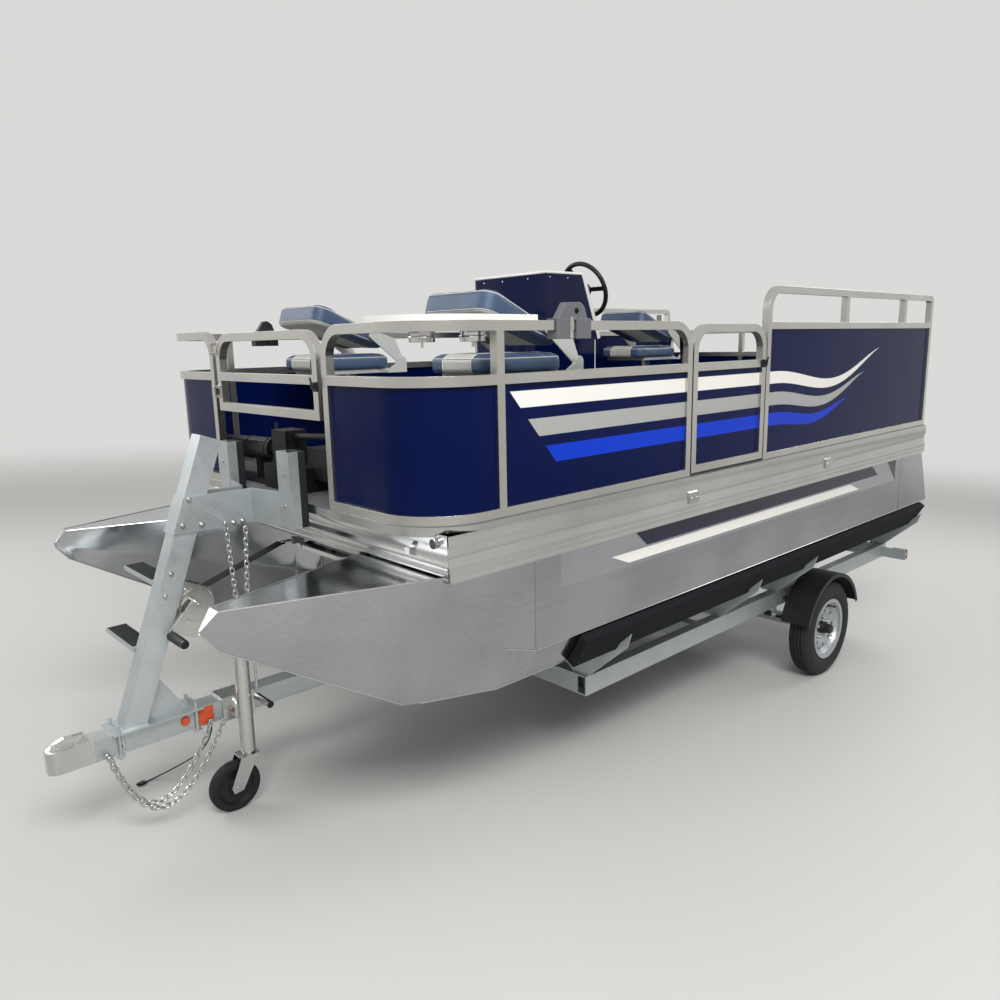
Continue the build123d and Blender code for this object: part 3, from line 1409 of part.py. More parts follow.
# The whole turned level and set on its floor
stance = Rot(nose_down, 0, 0)
standing = {}
for name, shape in nodes.items():
    solids = shape if isinstance(shape, list) else [shape]
    standing[name] = [stance * solid for solid in solids]
boxes = [solid.bounding_box() for solids in standing.values() for solid in solids]
mid_y = (min(b.min.Y for b in boxes) + max(b.max.Y for b in boxes)) / 2
floor_z = Vector(0, axle_y, axle_z).rotate(Axis.X, nose_down).Z - tyre_radius
place = Pos(0, -mid_y, -floor_z)
print("nose down", round(nose_down, 5), "shift", round(-mid_y, 4), round(-floor_z, 4))
print("lowest", round(min(b.min.Z for b in boxes) - floor_z, 3))
for name, solids in standing.items():
    placed = [place * solid for solid in solids]
    export_step(Compound(placed) if len(placed) > 1 else placed[0], "parts/" + name + ".step")
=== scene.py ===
import bpy, bmesh, json, math
import numpy as np
from mathutils import Matrix, Vector
from mathutils.bvhtree import BVHTree


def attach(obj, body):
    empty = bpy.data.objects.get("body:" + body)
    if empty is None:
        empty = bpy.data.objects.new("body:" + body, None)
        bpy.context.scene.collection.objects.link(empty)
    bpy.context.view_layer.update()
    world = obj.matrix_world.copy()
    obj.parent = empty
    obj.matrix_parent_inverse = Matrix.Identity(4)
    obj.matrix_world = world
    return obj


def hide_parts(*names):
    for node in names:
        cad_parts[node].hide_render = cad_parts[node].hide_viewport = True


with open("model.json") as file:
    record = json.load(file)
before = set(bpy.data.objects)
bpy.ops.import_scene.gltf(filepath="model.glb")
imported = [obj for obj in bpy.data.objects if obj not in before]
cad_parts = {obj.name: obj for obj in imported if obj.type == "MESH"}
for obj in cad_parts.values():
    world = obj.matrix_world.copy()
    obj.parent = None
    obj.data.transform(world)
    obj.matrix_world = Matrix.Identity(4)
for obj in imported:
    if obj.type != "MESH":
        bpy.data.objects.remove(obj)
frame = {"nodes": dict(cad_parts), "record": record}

# The boat and trailer stand nose down. SHIP turns the boat's own frame, in millimetres, into the row frame:
# x to port, y aft from the front skirt, z up from the deck. ORIGIN is that frame's zero in the row frame.
TILT = math.radians(3.16504)
ORIGIN = Vector((0.0, -1.5790787, 1.1589496))
PLACE = Matrix.Translation(ORIGIN) @ Matrix.Rotation(TILT, 4, "X")
SHIP = PLACE @ Matrix.Scale(0.001, 4)
ROOT = "boat_on_trailer"
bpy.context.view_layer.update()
scene = bpy.context.scene

# Camera at the photograph's place and angle
camera = bpy.data.objects.new("camera", bpy.data.cameras.new("camera"))
scene.collection.objects.link(camera)
camera.location = (2.760861, -3.053940, 1.622116)
camera.rotation_euler = [math.radians(a) for a in (81.008215, -1.168197, 46.964443)]
camera.data.lens = 28.5876
camera.data.sensor_width = 36.0
scene.camera = camera


def colour(text):
    """sRGB hex to linear RGBA."""
    values = [int(text[i:i + 2], 16) / 255 for i in (1, 3, 5)]
    return [v / 12.92 if v <= 0.04045 else ((v + 0.055) / 1.055) ** 2.4 for v in values] + [1.0]


def node(tree, kind, settings=None, **links):
    """Adds a node, sets its properties, and gives each named socket a value or a link."""
    made = tree.nodes.new(kind)
    for key, value in (settings or {}).items():
        setattr(made, key, value)
    for key, value in links.items():
        socket = made.inputs[int(key[1:])] if key[0] == "_" else made.inputs[key.replace("_", " ")]
        if isinstance(value, bpy.types.NodeSocket):
            tree.links.new(value, socket)
        else:
            socket.default_value = value
    return made


def material(name):
    """A new material with its tree and its shader."""
    mat = bpy.data.materials.new(name)
    mat.use_nodes = True
    tree = mat.node_tree
    tree.nodes.clear()
    shader = node(tree, "ShaderNodeBsdfPrincipled")
    node(tree, "ShaderNodeOutputMaterial", Surface=shader.outputs[0])
    return mat, tree, shader


def ship_position(tree):
    """The point in the boat's frame, in millimetres."""
    place = node(tree, "ShaderNodeTexCoord").outputs["Object"]
    shift = Matrix.Rotation(-TILT, 4, "X") @ -ORIGIN * 1000
    return node(tree, "ShaderNodeMapping", Vector=place, Location=shift, Rotation=(-TILT, 0, 0),
                Scale=(1000, 1000, 1000)).outputs[0]


def calc(tree, what, a, b=0.0):
    """Arithmetic on one value or two, each a number or a socket."""
    return node(tree, "ShaderNodeMath", {"operation": what}, _0=a, _1=b).outputs[0]


def ramp(tree, value, low, high, at_low=0.0, at_high=1.0):
    """A value drawn from one range onto another, held at its ends."""
    return node(tree, "ShaderNodeMapRange", Value=value, From_Min=low, From_Max=high,
                To_Min=at_low, To_Max=at_high).outputs[0]


def inside(tree, value, low, high, soft=0.8):
    """1 between low and high, with an edge soft millimetres wide."""
    return calc(tree, "MULTIPLY", ramp(tree, calc(tree, "SUBTRACT", value, low), -soft, soft),
                ramp(tree, calc(tree, "SUBTRACT", high, value), -soft, soft))


def mix(tree, share, first, second):
    """The first colour turned into the second by a share."""
    return node(tree, "ShaderNodeMix", {"data_type": "RGBA"}, _0=share, _6=first, _7=second).outputs[2]


def noise(tree, place, grain_mm, detail=3.0, rough=0.5):
    """A cloudy pattern; grain_mm is the size of its clouds, one number or one for each axis."""
    if isinstance(grain_mm, tuple):
        place = node(tree, "ShaderNodeMapping", Vector=place, Scale=[1.0 / g for g in grain_mm]).outputs[0]
        grain_mm = 1.0
    return node(tree, "ShaderNodeTexNoise", Vector=place, Scale=1.0 / grain_mm, Detail=detail,
                Roughness=rough).outputs[0]


def bump(tree, height, depth, strength=1.0):
    """Surface relief, depth in millimetres."""
    return node(tree, "ShaderNodeBump", Height=height, Distance=depth * 0.001, Strength=strength).outputs[0]


def drive(tree, shader, **sockets):
    """Links patterns to the shader's sockets, and sets plain values on them."""
    for key, value in sockets.items():
        socket = shader.inputs[key.replace("_", " ")]
        if isinstance(value, bpy.types.NodeSocket):
            tree.links.new(value, socket)
        else:
            socket.default_value = value


def bare_metal(name, light, dark, rough, cloud_mm, line_mm, wave_mm, wave_depth, smear=0.6):
    """Uncoated metal: clouds of tarnish, drawing lines along the piece, and a gently wavy face."""
    mat, tree, shader = material(name)
    place = ship_position(tree)
    cloud = noise(tree, place, cloud_mm, 2.0, 0.5)
    lines = noise(tree, place, line_mm, 3.0)
    marks = calc(tree, "ADD", calc(tree, "MULTIPLY", cloud, smear),
                 calc(tree, "MULTIPLY", lines, 1.0 - smear))
    wave = noise(tree, place, wave_mm, 2.0)
    drive(tree, shader, Base_Color=mix(tree, ramp(tree, marks, 0.3, 0.7), colour(light), colour(dark)),
          Roughness=ramp(tree, marks, 0.3, 0.7, *rough), Normal=bump(tree, wave, wave_depth), Metallic=1.0)
    return mat, tree, shader, place


# Rolled aluminium sheet, mill finish: mirror-like but soft, with rolling lines along the hull. Welded
# seams close the bow plates at y 403 and the stern plates at y 3560. A painted reflection runs along the
# pressed side: a navy band above a white one, not metallic.
hull_metal, tree, shader, place = bare_metal(
    "rolled aluminium hull sheet, mill finish", "#B0B2B5", "#989A9E", (0.12, 0.22), 420.0,
    (5.0, 700.0, 5.0), (300.0, 520.0, 300.0), 4.0)
xyz = node(tree, "ShaderNodeSeparateXYZ", Vector=place).outputs
outboard = calc(tree, "GREATER_THAN", calc(tree, "ABSOLUTE", xyz[0]), 715.0)    # the pressed side
navy_ends = calc(tree, "ADD", xyz[1], xyz[2])
white_ends = calc(tree, "ADD", xyz[1], calc(tree, "MULTIPLY", xyz[2], 2.5))
# Painted reflection: a navy band above a white band on the outboard pressed side, drawn as non-metallic
# colour
navy_reflection_band = calc(tree, "MULTIPLY", inside(tree, xyz[2], -250, -150), inside(tree, navy_ends, 800, 3010))
white_reflection_band = calc(tree, "MULTIPLY", inside(tree, xyz[2], -295, -257), inside(tree, white_ends, 185, 2250))
painted_reflection_bands = calc(tree, "MULTIPLY", calc(tree, "MAXIMUM", navy_reflection_band, white_reflection_band), outboard)
bare = shader.inputs["Base Color"].links[0].from_socket
painted = mix(tree, calc(tree, "MULTIPLY", navy_reflection_band, outboard), bare, colour("#050B33"))
painted = mix(tree, calc(tree, "MULTIPLY", white_reflection_band, outboard), painted, colour("#E6E4DE"))
seams = calc(tree, "MAXIMUM", inside(tree, xyz[1], 399, 407, 3.0), inside(tree, xyz[1], 3556, 3563, 3.0))
wave = noise(tree, place, (260.0, 420.0, 260.0), 2.0)
relief = calc(tree, "ADD", calc(tree, "MULTIPLY", wave, 5.0), calc(tree, "MULTIPLY", seams, 1.6))
drive(tree, shader, Base_Color=mix(tree, calc(tree, "MULTIPLY", seams, 0.5), painted, colour("#6F7276")),
      Metallic=calc(tree, "SUBTRACT", 1.0, painted_reflection_bands), Normal=bump(tree, relief, 1.0))

# Drawn extrusion with long die lines, and satin tube
extrusion = bare_metal("bright drawn aluminium extrusion", "#CBCBC9", "#B3B3B0", (0.14, 0.25),
                       420.0, (2.5, 500.0, 2.5), (300.0, 400.0, 300.0), 1.5)[0]
tube_metal = bare_metal("satin anodised aluminium tube", "#CFCDC7", "#BCBAB4", (0.22, 0.3),
                        500.0, (300.0, 300.0, 300.0), (400.0, 400.0, 400.0), 0.6)[0]

# Hot dip galvanised steel: pale zinc with faint crystals some 9 mm across
galvanised, tree, shader = material("hot dip galvanised steel")
place = ship_position(tree)
crystal = node(tree, "ShaderNodeTexVoronoi", Vector=place, Scale=1 / 9.0).outputs[1]
shade = node(tree, "ShaderNodeSeparateColor", Color=crystal).outputs[0]
cloud = noise(tree, place, 120.0, 4.0)
tone = calc(tree, "ADD", calc(tree, "MULTIPLY", shade, 0.22), calc(tree, "MULTIPLY", cloud, 0.78))
drive(tree, shader, Base_Color=mix(tree, tone, colour("#A4ABAD"), colour("#C3C9CA")), Metallic=0.72,
      Roughness=ramp(tree, tone, 0.3, 0.7, 0.36, 0.5), Normal=bump(tree, cloud, 0.8))

# Bright zinc plate over pressed steel, faintly yellow and blue where the plating is thick
zinc, tree, shader = material("bright zinc plated steel")
place = ship_position(tree)
cloud = noise(tree, place, 110.0, 2.0)
drive(tree, shader, Base_Color=mix(tree, cloud, colour("#CFCFC9"), colour("#B4B6B6")), Metallic=1.0,
      Roughness=ramp(tree, noise(tree, place, 60.0), 0.3, 0.7, 0.22, 0.32), Normal=bump(tree, cloud, 0.5))

# Baked navy enamel on thin aluminium sheet, with cut vinyl stripes on the outer faces. Aft of the side
# gate each stripe dips and thins out to a point.
panel_paint, tree, shader = material("glossy navy enamel with vinyl stripes")
place = ship_position(tree)
xyz = node(tree, "ShaderNodeSeparateXYZ", Vector=place).outputs
start = calc(tree, "ADD", xyz[1], calc(tree, "MULTIPLY", xyz[2], 0.86))
outer_face = calc(tree, "GREATER_THAN", calc(tree, "ABSOLUTE", xyz[0]), 944.5)
painted = colour("#04103E")
for mid, half, end, fall, tint in ((368, 27, 3080, 120, "#E7E5DF"), (272.5, 29.5, 2900, 92, "#A3A4A2"),
                                   (179, 29, 2720, 60, "#0E38BE")):
    along = ramp(tree, xyz[1], 1960, end)
    swing = calc(tree, "SINE", calc(tree, "MULTIPLY", along, 4.4))
    drop = calc(tree, "MULTIPLY", calc(tree, "MULTIPLY", swing, along), fall)
    width = calc(tree, "MULTIPLY", calc(tree, "SUBTRACT", 1.0, calc(tree, "POWER", along, 2.2)), half)
    off = calc(tree, "ABSOLUTE", calc(tree, "SUBTRACT", calc(tree, "ADD", xyz[2], drop), mid))
    band = calc(tree, "MULTIPLY", ramp(tree, calc(tree, "SUBTRACT", width, off), -0.8, 0.8),
                inside(tree, start, 624, 5000))
    band = calc(tree, "MULTIPLY", band, calc(tree, "LESS_THAN", xyz[1], float(end)))
    painted = mix(tree, calc(tree, "MULTIPLY", band, outer_face), painted, colour(tint))
wave = noise(tree, place, (240.0, 340.0, 240.0), 1.0)
drive(tree, shader, Base_Color=painted, Roughness=ramp(tree, noise(tree, place, 60.0), 0.3, 0.7, 0.07, 0.13),
      Specular_IOR_Level=0.2, IOR=1.3, Normal=bump(tree, wave, 2.2))


def plain(name, first, second, rough, grain_mm, depth, metallic=0.0, coat=0.0, level=0.5):
    """A moulded, painted or felted surface: two close colours in broad clouds, and grain of one size."""
    mat, tree, shader = material(name)
    place = ship_position(tree)
    grain = noise(tree, place, grain_mm, 4.0)
    broad = noise(tree, place, 120.0)
    blend = calc(tree, "ADD", calc(tree, "MULTIPLY", grain, 0.5), calc(tree, "MULTIPLY", broad, 0.5))
    drive(tree, shader, Base_Color=mix(tree, blend, colour(first), colour(second)),
          Roughness=ramp(tree, blend, 0.3, 0.7, *rough), Metallic=metallic, Coat_Weight=coat,
          Specular_IOR_Level=level, Normal=bump(tree, grain, depth, 0.6))
    return mat


# Needle felt: short looped pile, drawn coarser than the real 1 mm so that it shows
deck_carpet = plain("grey needle felt deck carpet", "#55585B", "#6B6E71", (0.92, 0.98), 3.0, 1.4)
bunk_carpet = plain("black needle felt bunk carpet", "#0C0D10", "#1C1F23", (0.9, 0.98), 3.5, 1.8, level=0.2)
# Moulded and painted parts
console_shell = plain("glossy navy gelcoat on glass fibre", "#030B30", "#05113E", (0.05, 0.09), 90.0, 0.5,
                      level=0.22)
black_plastic = plain("moulded black polypropylene", "#121315", "#1B1C1E", (0.4, 0.55), 1.5, 0.15, level=0.35)
grey_plastic = plain("moulded grey nylon", "#56585B", "#64666A", (0.36, 0.5), 1.5, 0.12)
rubber = plain("moulded black rubber", "#151618", "#202225", (0.6, 0.75), 2.0, 0.2, level=0.3)
tyre_rubber = plain("vulcanised tyre rubber", "#1A1B1D", "#2A2A2C", (0.62, 0.8), 3.0, 0.3, level=0.35)
arm_plastic = plain("light grey moulded ABS", "#B0B2AF", "#BFC1BE", (0.34, 0.46), 1.4, 0.1)
white_plastic = plain("white moulded HDPE board", "#E8E7E2", "#DFDED9", (0.3, 0.42), 2.2, 0.06)
trim_white = plain("white extruded vinyl trim", "#DFDFDB", "#E8E8E4", (0.3, 0.4), 3.0, 0.05)
rim_steel = plain("silver painted pressed steel rim", "#A9ADB0", "#BCC0C2", (0.34, 0.46), 7.0, 0.15, 0.75)
spring_steel = plain("black painted spring steel", "#18191B", "#26272A", (0.5, 0.65), 2.0, 0.2, level=0.3)
lamp_red = plain("red polycarbonate lamp lens", "#8A0C10", "#9E1216", (0.1, 0.18), 6.0, 0.1, 0.0, 0.6)
amber = plain("amber acrylic reflector", "#C2400C", "#D4520F", (0.12, 0.25), 2.5, 0.5, 0.0, 0.5)
motor_body = plain("satin dark grey painted aluminium", "#232527", "#2E3033", (0.28, 0.38), 1.4, 0.1, 0.35)
webbing = plain("black woven webbing", "#131416", "#232427", (0.75, 0.88), 1.8, 0.5, level=0.2)
cord_skin = plain("black PVC cord", "#121214", "#1D1D20", (0.35, 0.5), 3.0, 0.1, level=0.4)
dark_lens = plain("smoked polycarbonate lens", "#1C1E21", "#2A2C30", (0.08, 0.14), 8.0, 0.05, 0.0, 0.5)
steel_cup = bare_metal("polished stainless steel", "#D5D4D0", "#B5B3AE", (0.06, 0.16), 60.0,
                       (2.0, 2.0, 40.0), (90.0, 90.0, 90.0), 0.3)[0]
chrome = bare_metal("chrome plate on zinc casting", "#DADBDC", "#BFC1C3", (0.04, 0.12), 30.0,
                    (10.0, 10.0, 10.0), (60.0, 60.0, 60.0), 0.2)[0]


GREY_HALF = 79.0    # half the width of the grey band on each pad


def marine_vinyl(name, grey_from, grey_to, head_from):
    """Embossed marine vinyl, slate blue with light grey panels, placed by the pad's own millimetres."""
    mat, tree, shader = material(name)
    place = node(tree, "ShaderNodeAttribute", {"attribute_name": "pad_place"}).outputs["Vector"]
    xyz = node(tree, "ShaderNodeSeparateXYZ", Vector=place).outputs
    grain = noise(tree, place, 1.7, 2.0)
    crease = noise(tree, place, (70.0, 26.0, 40.0), 4.0, 0.55)
    broad = noise(tree, place, 90.0)
    blue = mix(tree, broad, colour("#3B4C66"), colour("#475A76"))
    grey = mix(tree, broad, colour("#B3B4AD"), colour("#C2C3BC"))
    panel = calc(tree, "MULTIPLY", inside(tree, xyz[0], -GREY_HALF, GREY_HALF),
                 inside(tree, xyz[2], grey_from, grey_to, 2.0))
    head = calc(tree, "MULTIPLY", calc(tree, "LESS_THAN", xyz[1], head_from),
                inside(tree, xyz[2], grey_from, grey_to, 2.0))
    relief = calc(tree, "ADD", calc(tree, "MULTIPLY", grain, 0.25), calc(tree, "MULTIPLY", crease, 1.6))
    drive(tree, shader, Base_Color=mix(tree, calc(tree, "MAXIMUM", panel, head), blue, grey),
          Roughness=ramp(tree, grain, 0.3, 0.7, 0.4, 0.54), Specular_IOR_Level=0.4,
          Normal=bump(tree, relief, 1.0, 0.8))
    return mat


cushion_vinyl = marine_vinyl("slate blue marine vinyl, grey seat panel", -100.0, 500.0, -9000.0)
back_vinyl = marine_vinyl("slate blue marine vinyl, grey head panel", -100.0, 44.0, -372.0)
piping_vinyl = plain("white vinyl piping", "#CFCFC9", "#DCDCD6", (0.35, 0.48), 2.0, 0.1)


# Building blocks, in millimetres of the boat's frame
def cube(bm, x0, x1, y0, y1, z0, z1, turn=Matrix.Identity(4)):
    """A box between two corners, drawn in the frame of turn."""
    size = Matrix.Diagonal((x1 - x0, y1 - y0, z1 - z0, 1.0))
    middle = Matrix.Translation(((x0 + x1) / 2, (y0 + y1) / 2, (z0 + z1) / 2))
    bmesh.ops.create_cube(bm, size=1.0, matrix=turn @ middle @ size)


def rod(bm, start, end, radius, far_radius=None, segments=24):
    """A round bar from start to end, tapered where it has a far radius."""
    heading = Vector(end) - Vector(start)
    turn = Matrix.Translation(start) @ heading.to_track_quat("Z", "Y").to_matrix().to_4x4()
    far = radius if far_radius is None else far_radius
    middle = turn @ Matrix.Translation((0, 0, heading.length / 2))
    bmesh.ops.create_cone(bm, cap_ends=True, segments=segments, radius1=radius, radius2=far,
                          depth=heading.length, matrix=middle)


def ring(bm, profile, turn, steps=64):
    """Spins a closed outline of (x, radius) points about the x axis of turn."""
    made = [bm.verts.new((x, r, 0.0)) for x, r in profile]
    edges = [bm.edges.new(pair) for pair in zip(made, made[1:] + made[:1])]
    bmesh.ops.spin(bm, geom=made + edges, cent=(0, 0, 0), axis=(1, 0, 0), angle=math.tau, steps=steps,
                   use_merge=True)
    faces = {f for e in edges for f in e.link_faces}
    border = list(faces)
    while border:
        near = {f for face in border for e in face.edges for f in e.link_faces} - faces
        faces |= near
        border = list(near)
    verts = list({v for f in faces for v in f.verts})
    bmesh.ops.remove_doubles(bm, verts=verts, dist=0.001)
    faces = [f for f in bm.faces if f in faces]
    verts = list({v for f in faces for v in f.verts})
    bmesh.ops.recalc_face_normals(bm, faces=faces)
    bmesh.ops.transform(bm, matrix=turn, verts=verts)


def bolt(bm, where, heading, size=9.0):
    """A washer, a hexagon head and a thread's end, seated at where and pointing along heading."""
    where, heading = Vector(where), Vector(heading).normalized()
    washer = 1.8
    head, tip = washer + size * 0.6, washer + size * 0.95
    rod(bm, where - heading, where + heading * washer, size * 1.05, segments=20)
    rod(bm, where + heading * washer, where + heading * head, size * 0.8, size * 0.74, segments=6)
    rod(bm, where + heading * head, where + heading * tip, size * 0.42, size * 0.36, segments=12)


def tube_mesh(points, radius, cyclic=False, sides=2):
    """A round bead along points, as a bmesh."""
    line = bpy.data.curves.new("line", "CURVE")
    line.dimensions = "3D"
    line.bevel_depth = radius
    line.bevel_resolution = sides
    line.use_fill_caps = True
    run = line.splines.new("POLY")
    run.points.add(len(points) - 1)
    for spot, p in zip(run.points, points):
        spot.co = (*p, 1.0)
    run.use_cyclic_u = cyclic
    holder = bpy.data.objects.new("line", line)
    bm = bmesh.new()
    mesh = bpy.data.meshes.new_from_object(holder)
    bm.from_mesh(mesh)
    bpy.data.objects.remove(holder)
    bpy.data.meshes.remove(mesh)
    bpy.data.curves.remove(line)
    return bm


def joined(first, second):
    """Adds one bmesh to another."""
    mesh = bpy.data.meshes.new("joining")
    second.to_mesh(mesh)
    second.free()
    first.from_mesh(mesh)
    bpy.data.meshes.remove(mesh)
    return first


def place_piece(bm, name, finish, body=ROOT, bevel=0.0, segments=2, smooth=35, subdivide=0, replaces=(),
                turn=SHIP):
    """Turns a bmesh in boat millimetres into a finished piece that rides on a body."""
    bm.transform(turn)
    mesh = bpy.data.meshes.new(name)
    bm.to_mesh(mesh)
    bm.free()
    mesh.shade_smooth()
    mesh.set_sharp_from_angle(angle=math.radians(smooth))
    obj = bpy.data.objects.new(name, mesh)
    scene.collection.objects.link(obj)
    for item in finish if isinstance(finish, (list, tuple)) else [finish]:
        mesh.materials.append(item)
    if bevel:
        rounding = obj.modifiers.new("rounding", "BEVEL")
        rounding.width = bevel * 0.001
        rounding.segments = segments
        rounding.limit_method = "ANGLE"
        rounding.angle_limit = math.radians(32)
        rounding.harden_normals = True
        rounding.use_clamp_overlap = True
    if subdivide:
        smoothing = obj.modifiers.new("smoothing", "SUBSURF")
        smoothing.levels = smoothing.render_levels = subdivide
    if replaces:
        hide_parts(*replaces)
    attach(obj, body)
    return obj


def merged_copy(name):
    """A bmesh of a CAD node in boat millimetres, its loose triangles joined into flat faces."""
    bm = bmesh.new()
    bm.from_mesh(frame["nodes"][name].data)
    bmesh.ops.remove_doubles(bm, verts=bm.verts, dist=0.00002)
    bmesh.ops.dissolve_limit(bm, angle_limit=math.radians(0.5), verts=bm.verts, edges=bm.edges)
    bm.transform(SHIP.inverted())
    return bm


body_of_node = {n: b for b, nodes in frame["record"]["behaviour"]["bodies"].items() for n in nodes}


def dress(name, finish, bevel=0.0, segments=2, tests=(), smooth=35):
    """A CAD node with its edges rounded; faces that hold for a test get the next finish in the list."""
    bm = merged_copy(name)
    for index, test in enumerate(tests, 1):
        for face in bm.faces:
            if all(test(v.co) for v in face.verts):
                face.material_index = index
    return place_piece(bm, name + "_dressed", finish, body_of_node[name], bevel, segments, smooth,
                       replaces=[name])


# Lead of the trailer's lamps, a free cord: out of the tongue, down and along the floor to a flat plug
lead_route = ((0.0, -0.378, -0.806), (0.0, -0.378, -0.912), (-0.335, -0.441, -1.1332842),
              (-0.312, -0.536, -1.128031))
lead = bpy.data.curves.new("wiring_lead_cord", "CURVE")
lead.dimensions = "3D"
lead.bevel_depth = 0.00275
lead.bevel_resolution = 3
lead.resolution_u = 24
lead.use_fill_caps = True
run = lead.splines.new("NURBS")
run.points.add(len(lead_route) - 1)
for spot, point in zip(run.points, lead_route):
    spot.co = (*(PLACE @ Vector(point)), 1.0)
run.order_u = 3
run.use_endpoint_u = True
lead.materials.append(cord_skin)
lead_piece = bpy.data.objects.new("wiring_lead_cord", lead)
scene.collection.objects.link(lead_piece)
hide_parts("wiring_lead")
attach(lead_piece, ROOT)

lead_end, lead_before = [Vector(lead_route[i]) * 1000 for i in (-1, -2)]
plug_x = (lead_end - lead_before).normalized()
plug_up = Vector((0.0, math.sin(TILT), math.cos(TILT)))
plug_y = plug_up.cross(plug_x)
plug_axes = Matrix((plug_x, plug_y, plug_up)).transposed().to_4x4()
plug_turn = Matrix.Translation(lead_end + plug_x * 0.3) @ plug_axes
bm = bmesh.new()
cube(bm, 6.0, 34.0, -10.0, 10.0, -2.6, 6.0, plug_turn)
cube(bm, 33.0, 40.0, -9.0, -4.8, -1.4, 4.6, plug_turn)
for y in (-0.6, 3.4, 7.4):
    rod(bm, plug_turn @ Vector((33, y, 1.6)), plug_turn @ Vector((40, y, 1.6)), 2.0, segments=14)
rod(bm, plug_turn @ Vector((0.2, 0, 0.4)), plug_turn @ Vector((8, 0, 1.2)), 3.2, 4.6, segments=16)
for x in (12.0, 17.0, 22.0):
    cube(bm, x, x + 2.0, -10.0, 10.0, 5.6, 6.7, plug_turn)
plug_piece = place_piece(bm, "lead_plug_body", black_plastic, bevel=0.7, replaces=["lead_plug"])
bm = bmesh.new()
rod(bm, (0, -378, -806.2), (0, -378, -810.0), 9.0, segments=24)
rod(bm, (0, -378, -810.0), (0, -378, -834.0), 5.2, 3.0, segments=20)
sleeve = place_piece(bm, "lead_sleeve", rubber, bevel=0.6)


# Pads: foam under vinyl. Each is drawn a little small, remeshed, swollen as cloth under pressure and capped.
def rounded_block(half, y0, y1, z0, z1, corner, edge):
    """A box with rounded corners seen from above, and softened edges."""
    bm = bmesh.new()
    cube(bm, -half, half, y0, y1, z0, z1)
    upright = [e for e in bm.edges if abs(e.verts[0].co.z - e.verts[1].co.z) > 1]
    bmesh.ops.bevel(bm, geom=upright, offset=corner, offset_type="OFFSET", affect="EDGES", segments=6,
                    profile=0.5, material=-1)
    level = [e for e in bm.edges if abs(e.verts[0].co.z - e.verts[1].co.z) < 1 and len(e.link_faces) == 2
             and {len(f.verts) > 8 for f in e.link_faces} == {True, False}]
    bmesh.ops.bevel(bm, geom=level, offset=edge, offset_type="OFFSET", affect="EDGES", segments=3,
                    profile=0.5, material=-1)
    return bm


def swollen(bm, floor, ceiling, cap, voxel=7.0):
    """The pad's mesh in metres after the cloth has filled it; no point moves further than cap millimetres."""
    mesh = bpy.data.meshes.new("pad")
    bm.transform(Matrix.Scale(0.001, 4))
    bm.to_mesh(mesh)
    bm.free()
    pad = bpy.data.objects.new("pad", mesh)
    scene.collection.objects.link(pad)
    grid = pad.modifiers.new("grid", "REMESH")
    grid.mode = "VOXEL"
    grid.voxel_size = voxel * 0.001
    pad.data = bpy.data.meshes.new_from_object(pad.evaluated_get(bpy.context.evaluated_depsgraph_get()))
    pad.modifiers.clear()
    rest = [v.co.copy() for v in pad.data.vertices]
    cloth = pad.modifiers.new("swell", "CLOTH")
    cloth.settings.quality = 6
    cloth.settings.mass = 0.25
    cloth.settings.tension_stiffness = cloth.settings.compression_stiffness = 18.0
    cloth.settings.bending_stiffness = 0.6
    cloth.settings.use_pressure = True
    cloth.settings.uniform_pressure_force = 4.0
    cloth.settings.effector_weights.gravity = 0.0
    cloth.point_cache.frame_start, cloth.point_cache.frame_end = 1, 20
    for step in range(1, 21):
        scene.frame_set(step)
    done = bpy.data.meshes.new_from_object(pad.evaluated_get(bpy.context.evaluated_depsgraph_get()))
    for vertex, start_place, far in zip(pad.data.vertices, rest, done.vertices):
        move = far.co - start_place
        vertex.co = start_place + move * min(1.0, cap * 0.001 / max(move.length, 1e-9))
    pad.modifiers.clear()
    scene.frame_set(1)
    filled = bmesh.new()
    filled.from_mesh(pad.data)
    bpy.data.objects.remove(pad)
    filled.transform(Matrix.Scale(1000, 4))
    bmesh.ops.smooth_vert(filled, verts=filled.verts, factor=0.5, use_axis_x=True, use_axis_y=True,
                          use_axis_z=True)
    for vertex in filled.verts:
        vertex.co.z = min(max(vertex.co.z, floor), ceiling(vertex.co.y))
    return filled


def hits(tree, outline, middle):
    """Points on the pad where level lines from an outline of points to the middle meet it."""
    found = []
    for point in outline:
        aim = Vector((*middle, point[2])) - Vector(point)
        spot = tree.ray_cast(Vector(point), aim.normalized())[0]
        if spot is not None:
            found.append(spot)
    return found


def rounded_outline(half, y0, y1, corner, height, steps=10):
    """A rounded rectangle of points; height gives z at a y."""
    points = []
    for cx, cy, first in ((half - corner, y0 + corner, -90), (half - corner, y1 - corner, 0),
                          (-half + corner, y1 - corner, 90), (-half + corner, y0 + corner, 180)):
        for i in range(steps + 1):
            turn = math.radians(first + 90 * i / steps)
            x, y = cx + corner * math.cos(turn), cy + corner * math.sin(turn)
            points.append((x, y, height(y)))
    return points


# Cushion in the seat's frame: origin at the pedestal on the deck. Back in the hinge's frame, folded flat.
SEAT_Z, HINGE_BACK, HINGE_Z, BACK_TILT = 440.0, 165.0, 472.0, 18.0
seat_places = {"port": (554.0, 653.0), "starboard": (-554.0, 653.0), "helm": (-520.0, 2930.0)}
cushion_pad = swollen(rounded_block(180, -266, 141, SEAT_Z, SEAT_Z + 58, 54, 15), SEAT_Z + 0.6,
                      lambda y: SEAT_Z + 69.5, 12)
BACK_END, BACK_LONG = 480.0, 396.0    # the back's free end and its length


def thinning(y):
    """How far the back has thinned at y; the fifth at its free end keeps its full height."""
    return max(0.0, (y + BACK_END) / BACK_LONG - 0.2)


